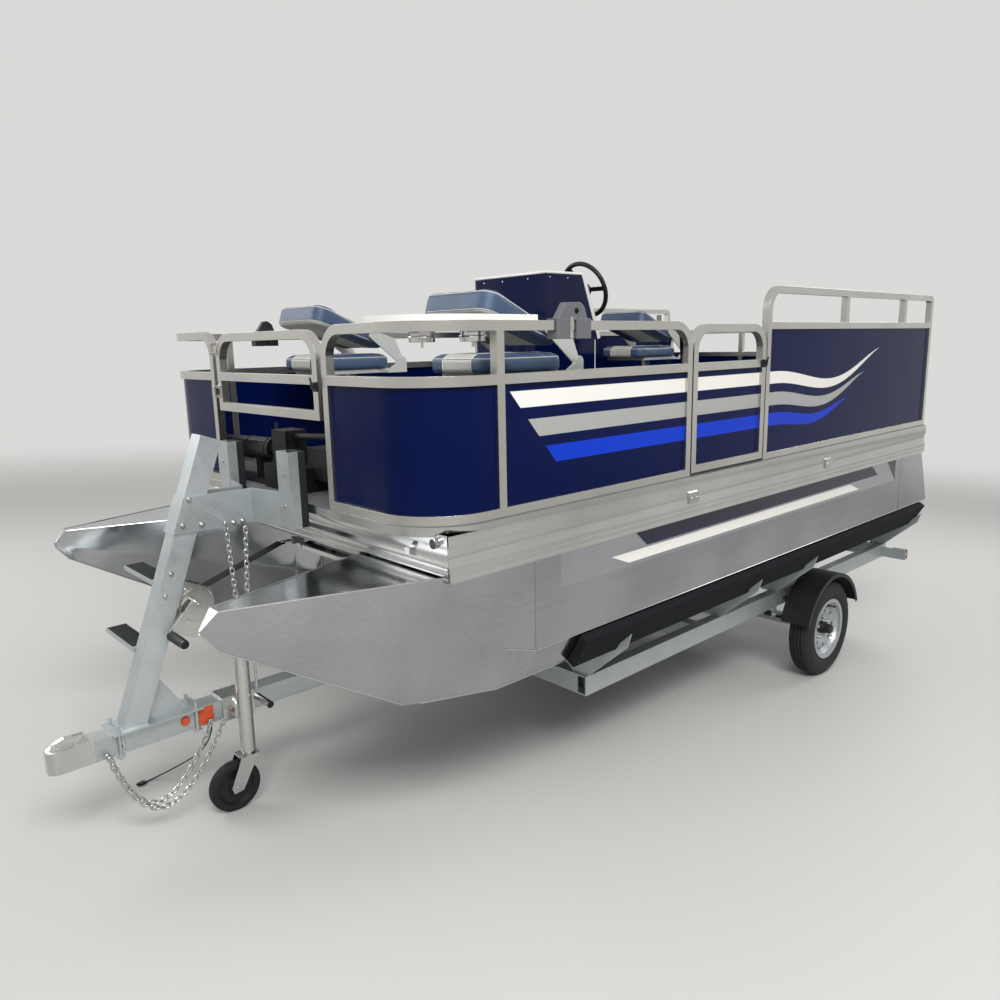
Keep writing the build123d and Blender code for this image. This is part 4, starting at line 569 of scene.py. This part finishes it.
back_block = rounded_block(186, -BACK_END, BACK_LONG - BACK_END, 33, 118, 48, 15)
for vertex in back_block.verts:
    if vertex.co.z > 60:
        vertex.co.z -= 48 * thinning(vertex.co.y)
back_pad = swollen(back_block, 30.5, lambda y: 124.0, 8)

# Piping and seams as beads on the pads: an outline of points, the middle that it is drawn in to (none where
# it is dropped onto the pad from the front and from above), the bead's radius, and whether it closes
cushion_seams = [(rounded_outline(230, -310, 185, 90, lambda y: SEAT_Z + 52), (0, -60), 1.8, True)]
for x in (-GREY_HALF, GREY_HALF):
    front = [(x, -320, SEAT_Z + 6 + i * 4) for i in range(12)]
    top = [(x, -300 + i * 14, SEAT_Z + 120) for i in range(31)]
    cushion_seams.append((front + top, None, 1.7, False))
back_seams = [
    (rounded_outline(230, -520, -40, 90, lambda y: 108.0 - 44.0 * thinning(y)), (0, -280), 2.0, True),
    (rounded_outline(230, -520, -40, 90, lambda y: 46.0), (0, -280), 1.5, True)]
for s in (-1, 1):
    back_seams.append(([(s * 250, -280, 50 + i * 5) for i in range(8)], (0, -280), 0.9, False))
trims = {}
for kind, pad, seams_at in (("cushion", cushion_pad, cushion_seams), ("back", back_pad, back_seams)):
    surface = BVHTree.FromBMesh(pad)
    beads = bmesh.new()
    for outline, middle, thick, closed in seams_at:
        spots = hits(surface, outline, middle) if middle else []
        for point in ([] if middle else outline):
            aim = Vector((0, 1, 0)) if point[2] < SEAT_Z + 56 else Vector((0, 0, -1))
            spot = surface.ray_cast(Vector(point), aim)[0]
            if spot is not None and (not spots or (spot - spots[-1]).length > 2):
                spots.append(spot)
        beads = joined(beads, tube_mesh(spots, thick, closed))
    trims[kind] = beads

folded = Matrix.Rotation(math.radians(-BACK_TILT), 4, "X")
for seat, (x, y) in seat_places.items():
    turns = {"cushion": Matrix.Translation((x, y, 0.3)),
             "back": Matrix.Translation((x, y + HINGE_BACK, HINGE_Z)) @ folded}
    for kind, pad, vinyl, body in (("cushion", cushion_pad, cushion_vinyl, "seat_" + seat),
                                   ("back", back_pad, back_vinyl, "back_" + seat)):
        bm = pad.copy()
        own = bm.verts.layers.float_vector.new("pad_place")
        for vertex in bm.verts:
            vertex[own] = vertex.co - Vector((0, 0, SEAT_Z if kind == "cushion" else 0))
        piece = place_piece(bm, kind + "_pad_" + seat, vinyl, body, smooth=80, subdivide=1,
                            replaces=["seat_" + kind + "_" + seat], turn=SHIP @ turns[kind])
        place_piece(trims[kind].copy(), kind + "_piping_" + seat, piping_vinyl, body,
                    turn=SHIP @ turns[kind])
cushion_pad.free()
back_pad.free()

# CAD nodes that keep their shape: edges rounded, surfaces finished
finishes = [
    ("cross_members", hull_metal, 0.0),
    ("deck_panel", deck_carpet, 0.0), ("deck_edging", extrusion, 0.0), ("skirts", extrusion, 0.0),
    ("fence_port", tube_metal, 3.0), ("fence_starboard", tube_metal, 3.0), ("fence_stern", tube_metal, 3.0),
    ("panels", panel_paint, 0.0), ("side_gate_frame", tube_metal, 3.0), ("side_gate_panel", panel_paint, 0.0),
    ("bow_gate_frame", tube_metal, 3.0), ("seat_pedestals", tube_metal, 1.0),
    ("trailer_frame", galvanised, 2.0), ("bunks", bunk_carpet, 5.0), ("bunk_brackets", galvanised, 1.0),
    ("leaf_springs", spring_steel, 1.0), ("axle", galvanised, 2.0), ("fenders", black_plastic, 1.2),
    ("winch_post", galvanised, 2.0), ("bow_stops", galvanised, 1.5), ("bow_stop_pads", rubber, 4.0),
    ("coupler", zinc, 0.0), ("caster_fork", zinc, 1.0), ("motor_bracket", hull_metal, 1.0)]
for seat in seat_places:
    finishes += [("seat_pan_" + seat, arm_plastic, 1.5), ("seat_arms_" + seat, arm_plastic, 2.0)]
for name, finish, bevel in finishes:
    dress(name, finish, bevel)

CUPS = ((760.0, 90.0), (845.0, 225.0))
# Places (y, z) of the axes across the boat: trailer wheels, jack wheel, and the winch's drum, crank and grip
AXLE, CASTER = (2725.0, -1047.0), (-354.0, -1046.0)
DRUM, CRANK, GRIP = (-405.3, -345.0), (-422.3, -326.0), (-516.3, -425.0)


def near_axis(p, y, z, radius):
    """Whether a point is within a radius of an axis across the boat."""
    return math.hypot(p.y - y, p.z - z) < radius


dress("console", [console_shell, black_plastic], 3.0, tests=[lambda p: p.y > 2270 and p.z > 560])
dress("serving_tray", [white_plastic, steel_cup], 3.0, 3,
      [lambda p: any(math.hypot(p.x - x, p.y - y) < 47.4 for x, y in CUPS)])
dress("rail_clamps", [grey_plastic, black_plastic], 2.0, 2, [lambda p: p.x < 0])
dress("deck_fittings", [chrome, dark_lens, grey_plastic], 1.2, 2,
      [lambda p: p.y < -13 and abs(p.x) > 850, lambda p: p.z > 600])
dress("jack", [zinc, black_plastic], 1.0, 2, [lambda p: p.z < -700 and p.y > -252 and p.x > 92])
dress("caster_wheel", [rubber, black_plastic], 2.0, 3, [lambda p: near_axis(p, *CASTER, 70)])
dress("ladder", [extrusion, black_plastic], 1.0, 2,
      [lambda p: abs(p.x - 262) < 138 and p.z > -300 and p.y < 140])
dress("bow_motor", [motor_body, black_plastic], 3.0, 3, [lambda p: p.x > -192 or p.y > 300 or p.z < 60])
dress("winch_strap", [webbing, zinc], 0.5, 2, [lambda p: p.y > -50])
for side in ("port", "starboard"):
    dress("rim_" + side, rim_steel, 0.0)
    dress("hub_" + side, [black_plastic, zinc], 1.0, 2, [lambda p: not near_axis(p, *AXLE, 45)])

# Pontoons keep every crease of their plates; a bright weld bead follows each crease of the bow
for side in ("port", "starboard"):
    dress("pontoon_" + side, hull_metal, 1.2, smooth=8)
    shell = merged_copy("pontoon_" + side)
    creases = [[v.co.copy() for v in e.verts] for e in shell.edges
               if e.calc_length() > 60 and e.calc_face_angle(0.0) > 0.2 and min(v.co.y for v in e.verts) < 404
               and max(v.co.z for v in e.verts) < -150]
    shell.free()
    bm = bmesh.new()
    for start, end in creases:
        rod(bm, start, end, 2.4, segments=8)
    place_piece(bm, "weld_beads_" + side, extrusion)


def loose_parts(bm):
    """The points of each separate part of a mesh."""
    left, parts = dict.fromkeys(bm.verts), []
    while left:
        border = [next(iter(left))]
        del left[border[0]]
        part = list(border)
        while border:
            near = [e.other_vert(v) for v in border for e in v.link_edges]
            border = [v for v in dict.fromkeys(near) if v in left]
            for v in border:
                del left[v]
            part += border
        parts.append([v.co.copy() for v in part])
    return parts


# Chains: each link of bent, zinc plated wire stands where the solid link does
WIRE, LINK_LONG, LINK_WIDE = 3.0, 34.0, 22.0
bend = LINK_WIDE / 2 - WIRE
straight = LINK_LONG / 2 - WIRE - bend
oval = [(bend * math.cos(a), 0.0, bend * math.sin(a) + math.copysign(straight, math.sin(a)))
        for a in (math.radians(18 + 36 * i) for i in range(10))]
solid_links = merged_copy("chains")
bm = bmesh.new()
for points in loose_parts(solid_links):
    spread = np.array(points)
    across = np.linalg.eigh(np.cov((spread - spread.mean(axis=0)).T))[1]
    wide, long = Vector(across[:, 1]), Vector(across[:, 2])
    axes = Matrix((wide, long.cross(wide), long)).transposed().to_4x4()
    link = tube_mesh(oval, WIRE, True, 1)
    link.transform(Matrix.Translation(spread.mean(axis=0)) @ axes)
    joined(bm, link)
solid_links.free()
place_piece(bm, "chain_links", zinc, smooth=80, replaces=["chains"])

# Winch: plates and drum of the solid, with toothed gear, wound webbing, flanges, nuts and a shaped grip
dress("winch", [zinc, black_plastic], 0.8, 2, [lambda p: p.x > 67.9 and near_axis(p, *GRIP, 16)])
drum, TEETH = Matrix.Translation((0, *DRUM)), 44
bm = bmesh.new()
for i in range(TEETH):
    cube(bm, 38.0, 44.0, -1.7, 1.7, 56.5, 61.5, drum @ Matrix.Rotation(math.tau * i / TEETH, 4, "X"))
for x in (-31.0, 28.0):
    ring(bm, [(x, 30.0), (x, 50.0), (x + 3.0, 50.0), (x + 3.0, 30.0)], drum, 40)
bolt(bm, (48.0, *DRUM), (1, 0, 0), 9.5)
bolt(bm, (70.0, *CRANK), (1, 0, 0), 9.5)
for y, z in ((-366.0, -405.0), (-398.0, -452.0), (-440.0, -283.0)):
    for s in (1, -1):
        bolt(bm, (s * 36.0, y, z), (s, 0, 0), 5.5)
place_piece(bm, "winch_gear_and_nuts", zinc, bevel=0.5)
bm = bmesh.new()
ring(bm, [(-25.0, 30.0), (-25.0, 35.6), (-24.0, 36.4), (24.0, 36.4), (25.0, 35.6), (25.0, 30.0)], drum, 48)
place_piece(bm, "wound_webbing", webbing)
bm = bmesh.new()
ring(bm, [(67.0, 9.0), (68.5, 15.6), (84.0, 17.2), (112.0, 16.4), (140.0, 17.2), (176.0, 16.0),
          (188.0, 15.4), (191.5, 10.0), (191.5, 4.0), (67.0, 4.0)], Matrix.Translation((0, *GRIP)), 32)
place_piece(bm, "winch_grip", black_plastic, smooth=50)

# Tyres: tread with three grooves, notched shoulders and two raised rings on each side wall
outer = [(46.0, 152.3), (50.0, 174.0), (53.6, 184.0), (54.9, 184.6), (57.6, 192.0), (57.8, 194.6),
         (60.9, 205.0), (60.4, 214.0), (61.6, 216.0), (61.0, 221.0), (58.8, 226.0), (57.0, 238.0),
         (52.0, 250.0), (44.0, 260.0), (24.0, 264.0), (22.0, 257.0), (17.0, 257.0), (15.5, 264.0),
         (3.0, 264.0), (2.0, 257.0)]
inner = [(-2.0, 252.0), (-36.0, 250.0), (-46.0, 236.0), (-50.0, 206.0), (-44.0, 190.0), (-38.0, 152.3)]
outline = ([(-x, r) for x, r in outer] + [(x, r) for x, r in reversed(outer)]
           + [(-x, r) for x, r in reversed(inner)] + inner)
# Middle of each tyre across the boat, steps round its tread, and the valve's place aft of and above the axle
WHEEL_X, TREAD_STEPS, VALVE = 869.0, 132, (AXLE[0] + 60, AXLE[1] + 112)
for side, s in (("port", 1), ("starboard", -1)):
    bm = bmesh.new()
    ring(bm, outline, Matrix.Identity(4), TREAD_STEPS)
    for vertex in bm.verts:
        turn = math.atan2(vertex.co.z, vertex.co.y) / math.tau * TREAD_STEPS
        if abs(vertex.co.x) > 40 and not near_axis(vertex.co, 0, 0, 244) and round(turn) % 3 == 0:
            vertex.co.y *= 0.984
            vertex.co.z *= 0.984
    bm.transform(Matrix.Translation((s * WHEEL_X, *AXLE)))
    place_piece(bm, "tyre_tread_" + side, tyre_rubber, "wheel_" + side, smooth=28, replaces=["tyre_" + side])
    bm = bmesh.new()
    for x0, x1, near, far in ((880, 916, 5.2, 4.0), (914, 929, 4.6, 4.3), (928, 931, 4.3, 2.6)):
        rod(bm, (s * x0, *VALVE), (s * x1, *VALVE), near, far, 14)
    place_piece(bm, "valve_" + side, rubber, "wheel_" + side, bevel=0.6)

# Steering wheel: the solid's rim and spokes, with a domed cap and finger grips under the rim
HELM, HELM_GRIPS = Vector((-620.0, 2439.8, 861.4)), 36
DASH_OUT = Vector((0.0, 0.9297, 0.3685))    # the way the dash faces
helm_turn = Matrix.Translation(HELM) @ DASH_OUT.to_track_quat("X", "Z").to_matrix().to_4x4()
dress("helm_wheel", black_plastic, 2.0, 3, smooth=50)
bm = bmesh.new()
ring(bm, [(11.8, 43.0), (15.0, 42.0), (19.0, 36.0), (21.5, 24.0), (22.5, 9.0), (22.6, 0.5), (11.0, 0.5)],
     helm_turn, 48)
place_piece(bm, "helm_cap", black_plastic, "helm_wheel", smooth=50)
bm = bmesh.new()
for i in range(HELM_GRIPS):
    around = Matrix.Rotation(math.tau * i / HELM_GRIPS, 4, "X")
    knob = helm_turn @ around @ Matrix.Translation((-9.5, 0, 165.0))
    bmesh.ops.create_uvsphere(bm, u_segments=8, v_segments=6, radius=6.6, matrix=knob)
place_piece(bm, "helm_finger_grips", black_plastic, "helm_wheel", smooth=80)

# Tail lamps: black housing on a galvanised arm, ribbed red lens aft, amber side marker
bm = merged_copy("tail_lamps")
for face in bm.faces:
    if all(v.co.y > 3845.9 for v in face.verts):
        face.material_index = 1
place_piece(bm, "tail_lamp_housings", [galvanised, black_plastic], bevel=3.0, segments=3,
            replaces=["tail_lamps"])
bm = bmesh.new()
for s in (1, -1):
    x0, x1 = sorted((s * 809, s * 891))
    cube(bm, x0, x1, 3880, 3889, -878, -828)
    for i in range(6):
        rod(bm, (x0 + 4, 3889, -872 + i * 8), (x1 - 4, 3889, -872 + i * 8), 1.6, segments=10)
place_piece(bm, "tail_lenses", lamp_red, bevel=2.5, segments=3)
bm = bmesh.new()
for s in (1, -1):
    rod(bm, (s * 894, 3866, -853), (s * 899, 3866, -853), 13, 11, 24)
place_piece(bm, "tail_side_markers", amber, bevel=1.0)

# Propeller of the bow motor, at the end of its pod: spinner and two twisted blades with rounded tips
POD_END, POD_AIM, POD_LONG = Vector((-270.0, 97.0, 135.0)), Vector((0.97815, 0.20791, 0.0)), 337.0
BLADE_ROOT, BLADE_LONG = 22.0, 90.0
prop_turn = Matrix.Translation(POD_END + POD_AIM * 2) @ Matrix(
    (Vector((0, 0, 1)), POD_AIM.cross(Vector((0, 0, 1))), POD_AIM)).transposed().to_4x4()
bm = bmesh.new()
ring(bm, [(0.0, 0.5), (0.0, 30.0), (14.0, 30.0), (26.0, 27.0), (33.0, 19.0), (36.0, 8.0), (36.2, 0.5)],
     prop_turn @ Matrix.Rotation(math.radians(-90), 4, "Y"), 40)
rod(bm, POD_END - POD_AIM * 0.2, POD_END + POD_AIM * 3, 8)
for half_turn in (0.0, math.pi):
    made = bmesh.ops.create_grid(bm, x_segments=14, y_segments=6, size=1.0)["verts"]
    for vertex in made:
        share, side_share = (vertex.co.x + 1) / 2, vertex.co.y
        chord = 17.0 + 11.0 * math.sin(math.pi * min(1.0, share * 1.3))
        chord *= math.sqrt(max(0.02, 1.0 - max(0.0, (share - 0.72) / 0.28) ** 2))
        turn = math.radians(42.0 - 20.0 * share)
        vertex.co = (BLADE_ROOT + BLADE_LONG * share, side_share * chord * math.cos(turn),
                     18.0 + side_share * chord * math.sin(turn) + 1.5 * side_share * side_share)
    skin = bmesh.ops.solidify(bm, geom=list({f for v in made for f in v.link_faces}), thickness=4.0)["geom"]
    points = list({v for v in skin if isinstance(v, bmesh.types.BMVert)} | set(made))
    bmesh.ops.transform(bm, matrix=prop_turn @ Matrix.Rotation(half_turn, 4, "Z"), verts=points)
bmesh.ops.recalc_face_normals(bm, faces=bm.faces)
place_piece(bm, "propeller_blades", black_plastic, "bow_propeller", smooth=45, replaces=["bow_propeller"])

# Console trim: rolled white lip round the top, white strips down the dash's sides and up the aft corners,
# rivets under the lip, and gauges with bright bezels and a switch plate on the dash
CONSOLE_X, CONSOLE_Y, DASH_TOP = (-905.0, -480.0), (1750.0, 2275.0), 946.0


def console_edge(inset):
    """Points round the console's top at an inset, from the dash forward along its inboard side and back."""
    points = [(CONSOLE_X[1] - inset, CONSOLE_Y[1])]
    for cx, cy, radius, first in ((-680.0, 1950.0, 200.0, 0), (-845.0, 1810.0, 60.0, -90)):
        points += [(cx + (radius - inset) * math.cos(math.radians(first - 7.5 * i)),
                    cy + (radius - inset) * math.sin(math.radians(first - 7.5 * i))) for i in range(13)]
    points.append((CONSOLE_X[0] + inset, CONSOLE_Y[1]))
    return [(x, y, DASH_TOP - 25.0 + 25.0 * min(1.0, (y - CONSOLE_Y[0]) / 210.0)) for x, y in points]


bm = tube_mesh([(x, y, z - 6.0) for x, y, z in console_edge(5.0)], 9.0, True, 3)
dash_turn = Matrix.Translation((0, CONSOLE_Y[1], DASH_TOP)) @ Matrix(
    (Vector((1, 0, 0)), -DASH_OUT, Vector((0, DASH_OUT.z, -DASH_OUT.y)))).transposed().to_4x4()
for x in (CONSOLE_X[1] - 2.0, CONSOLE_X[0] - 4.0):
    cube(bm, x, x + 6.0, -2.0, 24.0, -4.0, 408.0, dash_turn)
for x in CONSOLE_X:
    rod(bm, (x, 2378.0, 556.0), (x, 2378.0, 8.0), 3.0, segments=12)
place_piece(bm, "console_trim", trim_white, bevel=1.0)

bm = bmesh.new()
edge, passed, wanted = console_edge(-0.5), 0.0, [146.0 + 150.0 * i for i in range(6)]
for (ax, ay, az), (bx, by, bz) in zip(edge, edge[1:]):
    length = math.hypot(bx - ax, by - ay)
    for far in [w for w in wanted if passed <= w < passed + length]:
        share = (far - passed) / length
        spot = Matrix.Translation((ax + (bx - ax) * share, ay + (by - ay) * share,
                                   az + (bz - az) * share - 34.0))
        bmesh.ops.create_uvsphere(bm, u_segments=12, v_segments=8, radius=5.0, matrix=spot)
    passed += length
place_piece(bm, "console_rivets", chrome, smooth=80)

bezels, faces = bmesh.new(), bmesh.new()
for x in (-720.0, -620.0, -520.0):
    centre = dash_turn @ Vector((x, 0.0, 62.0))
    gauge = Matrix.Translation(centre) @ DASH_OUT.to_track_quat("X", "Z").to_matrix().to_4x4()
    ring(bezels, [(-1.0, 25.0), (4.5, 25.0), (6.0, 27.0), (4.5, 30.0), (-1.0, 31.0)], gauge, 40)
    rod(faces, centre - DASH_OUT, centre + DASH_OUT * 3.0, 25.5, segments=40)
cube(faces, -800.0, -720.0, -4.0, 1.0, 150.0, 200.0, dash_turn)
for i in range(4):
    cube(faces, -793.0 + i * 19.0, -782.0 + i * 19.0, -10.0, -3.0, 162.0, 188.0, dash_turn)
place_piece(bezels, "gauge_bezels", chrome, smooth=50)
place_piece(faces, "gauge_faces", dark_lens, bevel=0.8)

# Zinc plated fasteners of winch post, bow stops and tongue, and the splice plates of the skirts
bm = bmesh.new()
for y, z in ((-400.0, 34.5), (-363.0, -62.0), (-246.3, -73.9), (-430.0, -54.4), (-213.0, -72.8)):
    for s in (1, -1):
        bolt(bm, (s * 44.0, y, z), (s, 0, 0), 10.0)
for y, z in ((-484.0, -216.9), (-511.0, -291.9), (-699.2, -776.5)):
    for s in (1, -1):
        bolt(bm, (s * 38.0, y, z), (s, 0, 0), 9.0)
for x, z in ((246.0, 112.1), (236.0, -2.1)):
    for s in (1, -1):
        bolt(bm, (s * x, -140.3, z), (0, -1, 0), 7.0)
place_piece(bm, "frame_bolts", zinc, bevel=0.4)
bm = bmesh.new()
for y in (1288.5, 2493.8):
    for s in (1, -1):
        x0, x1 = sorted((s * 955.0, s * 974.5))
        cube(bm, x0, x1, y - 34, y + 34, -110.0, -66.0)
        for dy in (-20.0, 20.0):
            rod(bm, (s * 974.0, y + dy, -88.0), (s * 976.5, y + dy, -88.0), 5.0, 3.5, 14)
place_piece(bm, "skirt_splices", extrusion, bevel=0.8)

# Reflectors on the tongue
bm = bmesh.new()
cube(bm, 37.5, 42.0, -444.0, -384.0, -799.0, -735.0)
for i in range(5):
    cube(bm, 41.5, 42.8, -440.0, -388.0, -795.0 + i * 12.0, -787.0 + i * 12.0)
rod(bm, (37.5, -486.8, -764.1), (45.0, -486.8, -764.1), 18.0, 15.0, 28)
place_piece(bm, "tongue_reflectors", amber, bevel=0.8)

# Ribbed pads on the winch post's steps
bm = bmesh.new()
for y0, y1, top in ((-525.0, -453.0, -248.0), (-613.0, -541.0, -472.0)):
    cube(bm, -318.0, -56.0, y0 + 4, y1 - 4, top - 0.5, top + 2.0)
    for i in range(7):
        cube(bm, -314.0, -60.0, y0 + 9 + i * 9, y0 + 13 + i * 9, top + 1.5, top + 4.0)
place_piece(bm, "step_pads", rubber, bevel=0.6)

# Gate latches: a box with a thumb lever, each on its gate
bm = bmesh.new()
cube(bm, 372.0, 396.0, -82.0, -69.5, 398.0, 430.0)
cube(bm, 377.0, 391.0, -90.0, -81.0, 408.0, 424.0)
rod(bm, (384.0, -88.0, 416.0), (384.0, -94.0, 446.0), 4.0, 3.0, 14)
place_piece(bm, "bow_gate_latch", black_plastic, "bow_gate", bevel=2.0)
bm = bmesh.new()
cube(bm, 958.5, 970.0, 1812.0, 1836.0, 418.0, 452.0)
cube(bm, 969.0, 976.0, 1816.0, 1830.0, 428.0, 444.0)
rod(bm, (974.0, 1823.0, 436.0), (979.0, 1823.0, 464.0), 4.0, 3.0, 14)
place_piece(bm, "side_gate_latch", black_plastic, "side_gate", bevel=2.0)

# Clamp bolts and straps, rings round the cups, and bands round the bow motor's pod
bm = bmesh.new()
bolt(bm, (956.0, 588.0, 646.0), (1, 0, 0), 9.0)
bolt(bm, (-956.0, 430.0, 646.0), (-1, 0, 0), 9.0)
place_piece(bm, "clamp_bolts", black_plastic, bevel=0.5)
bm = bmesh.new()
for s, y in ((1, 552.0), (-1, 424.0)):
    x0, x1 = sorted((s * 964.0, s * 968.5))
    cube(bm, x0, x1, y - 8.0, y + 8.0, 556.0, 626.0)
for x, y in CUPS:
    for z in (566.0, 590.0):
        ring(bm, [(z, 40.0), (z, 43.5), (z + 2.5, 44.5), (z + 5.0, 43.5), (z + 5.0, 40.0)],
             Matrix.Translation((x, y, 0)) @ Matrix.Rotation(math.radians(-90), 4, "Y"), 48)
place_piece(bm, "cup_rings_and_straps", steel_cup, bevel=0.3, smooth=50)
bm = bmesh.new()
pod_axes = POD_AIM.to_track_quat("X", "Z").to_matrix().to_4x4()
for share in (0.42, 0.06):
    band = Matrix.Translation(POD_END - POD_AIM * POD_LONG * share) @ pod_axes
    ring(bm, [(-4.0, 45.0), (-3.0, 48.0), (3.0, 48.0), (4.0, 45.0)], band, 56)
place_piece(bm, "pod_bands", black_plastic, smooth=50)

scene.view_settings.view_transform = "Standard"

# Floor that fades into the pale background, soft lamps and an even sky
floor_mat, tree, shader = material("pale painted floor")
place = node(tree, "ShaderNodeTexCoord").outputs["Object"]
away = node(tree, "ShaderNodeVectorMath", {"operation": "LENGTH"}, _0=place).outputs[1]
share = node(tree, "ShaderNodeMapRange", {"interpolation_type": "SMOOTHSTEP"}, Value=away, From_Min=5.0,
             From_Max=16.0).outputs[0]
drive(tree, shader, Base_Color=colour("#C9C9C6"), Roughness=0.6)
glow = node(tree, "ShaderNodeEmission", Color=colour("#DADAD8"), Strength=1.0)
blend = node(tree, "ShaderNodeMixShader", _0=share, _1=shader.outputs[0], _2=glow.outputs[0])
tree.links.new(blend.outputs[0], tree.nodes["Material Output"].inputs[0])
bm = bmesh.new()
bmesh.ops.create_circle(bm, cap_ends=True, segments=64, radius=40.0)
mesh = bpy.data.meshes.new("floor")
bm.to_mesh(mesh)
bm.free()
mesh.materials.append(floor_mat)
floor = bpy.data.objects.new("floor", mesh)
scene.collection.objects.link(floor)

world = bpy.data.worlds.new("studio")
scene.world = world
world.use_nodes = True
tree = world.node_tree
tree.nodes.clear()
seen = node(tree, "ShaderNodeLightPath").outputs
shown = calc(tree, "MAXIMUM", calc(tree, "MAXIMUM", seen["Is Camera Ray"], seen["Is Glossy Ray"]),
             seen["Is Transmission Ray"])
strength = ramp(tree, shown, 0.0, 1.0, 0.55, 1.0)
sky = node(tree, "ShaderNodeBackground", Color=colour("#DADAD8"), Strength=strength)
node(tree, "ShaderNodeOutputWorld", Surface=sky.outputs[0])


def lamp(name, where, aim, size, power):
    """A soft rectangular lamp that points at aim."""
    made = bpy.data.objects.new(name, bpy.data.lights.new(name, "AREA"))
    made.data.shape = "RECTANGLE"
    made.data.size, made.data.size_y = size
    made.data.energy = power
    made.location = where
    made.rotation_euler = (Vector(aim) - Vector(where)).to_track_quat("-Z", "Y").to_euler()
    scene.collection.objects.link(made)


lamp("key", (4.5, -3.5, 5.5), (0, 0, 0.8), (4.0, 2.5), 420)
lamp("fill", (-5.5, -4.0, 4.0), (0, 0, 0.8), (4.0, 3.0), 160)
lamp("back", (1.0, 6.5, 5.0), (0, 0, 0.8), (5.0, 2.0), 200)

bpy.context.view_layer.update()
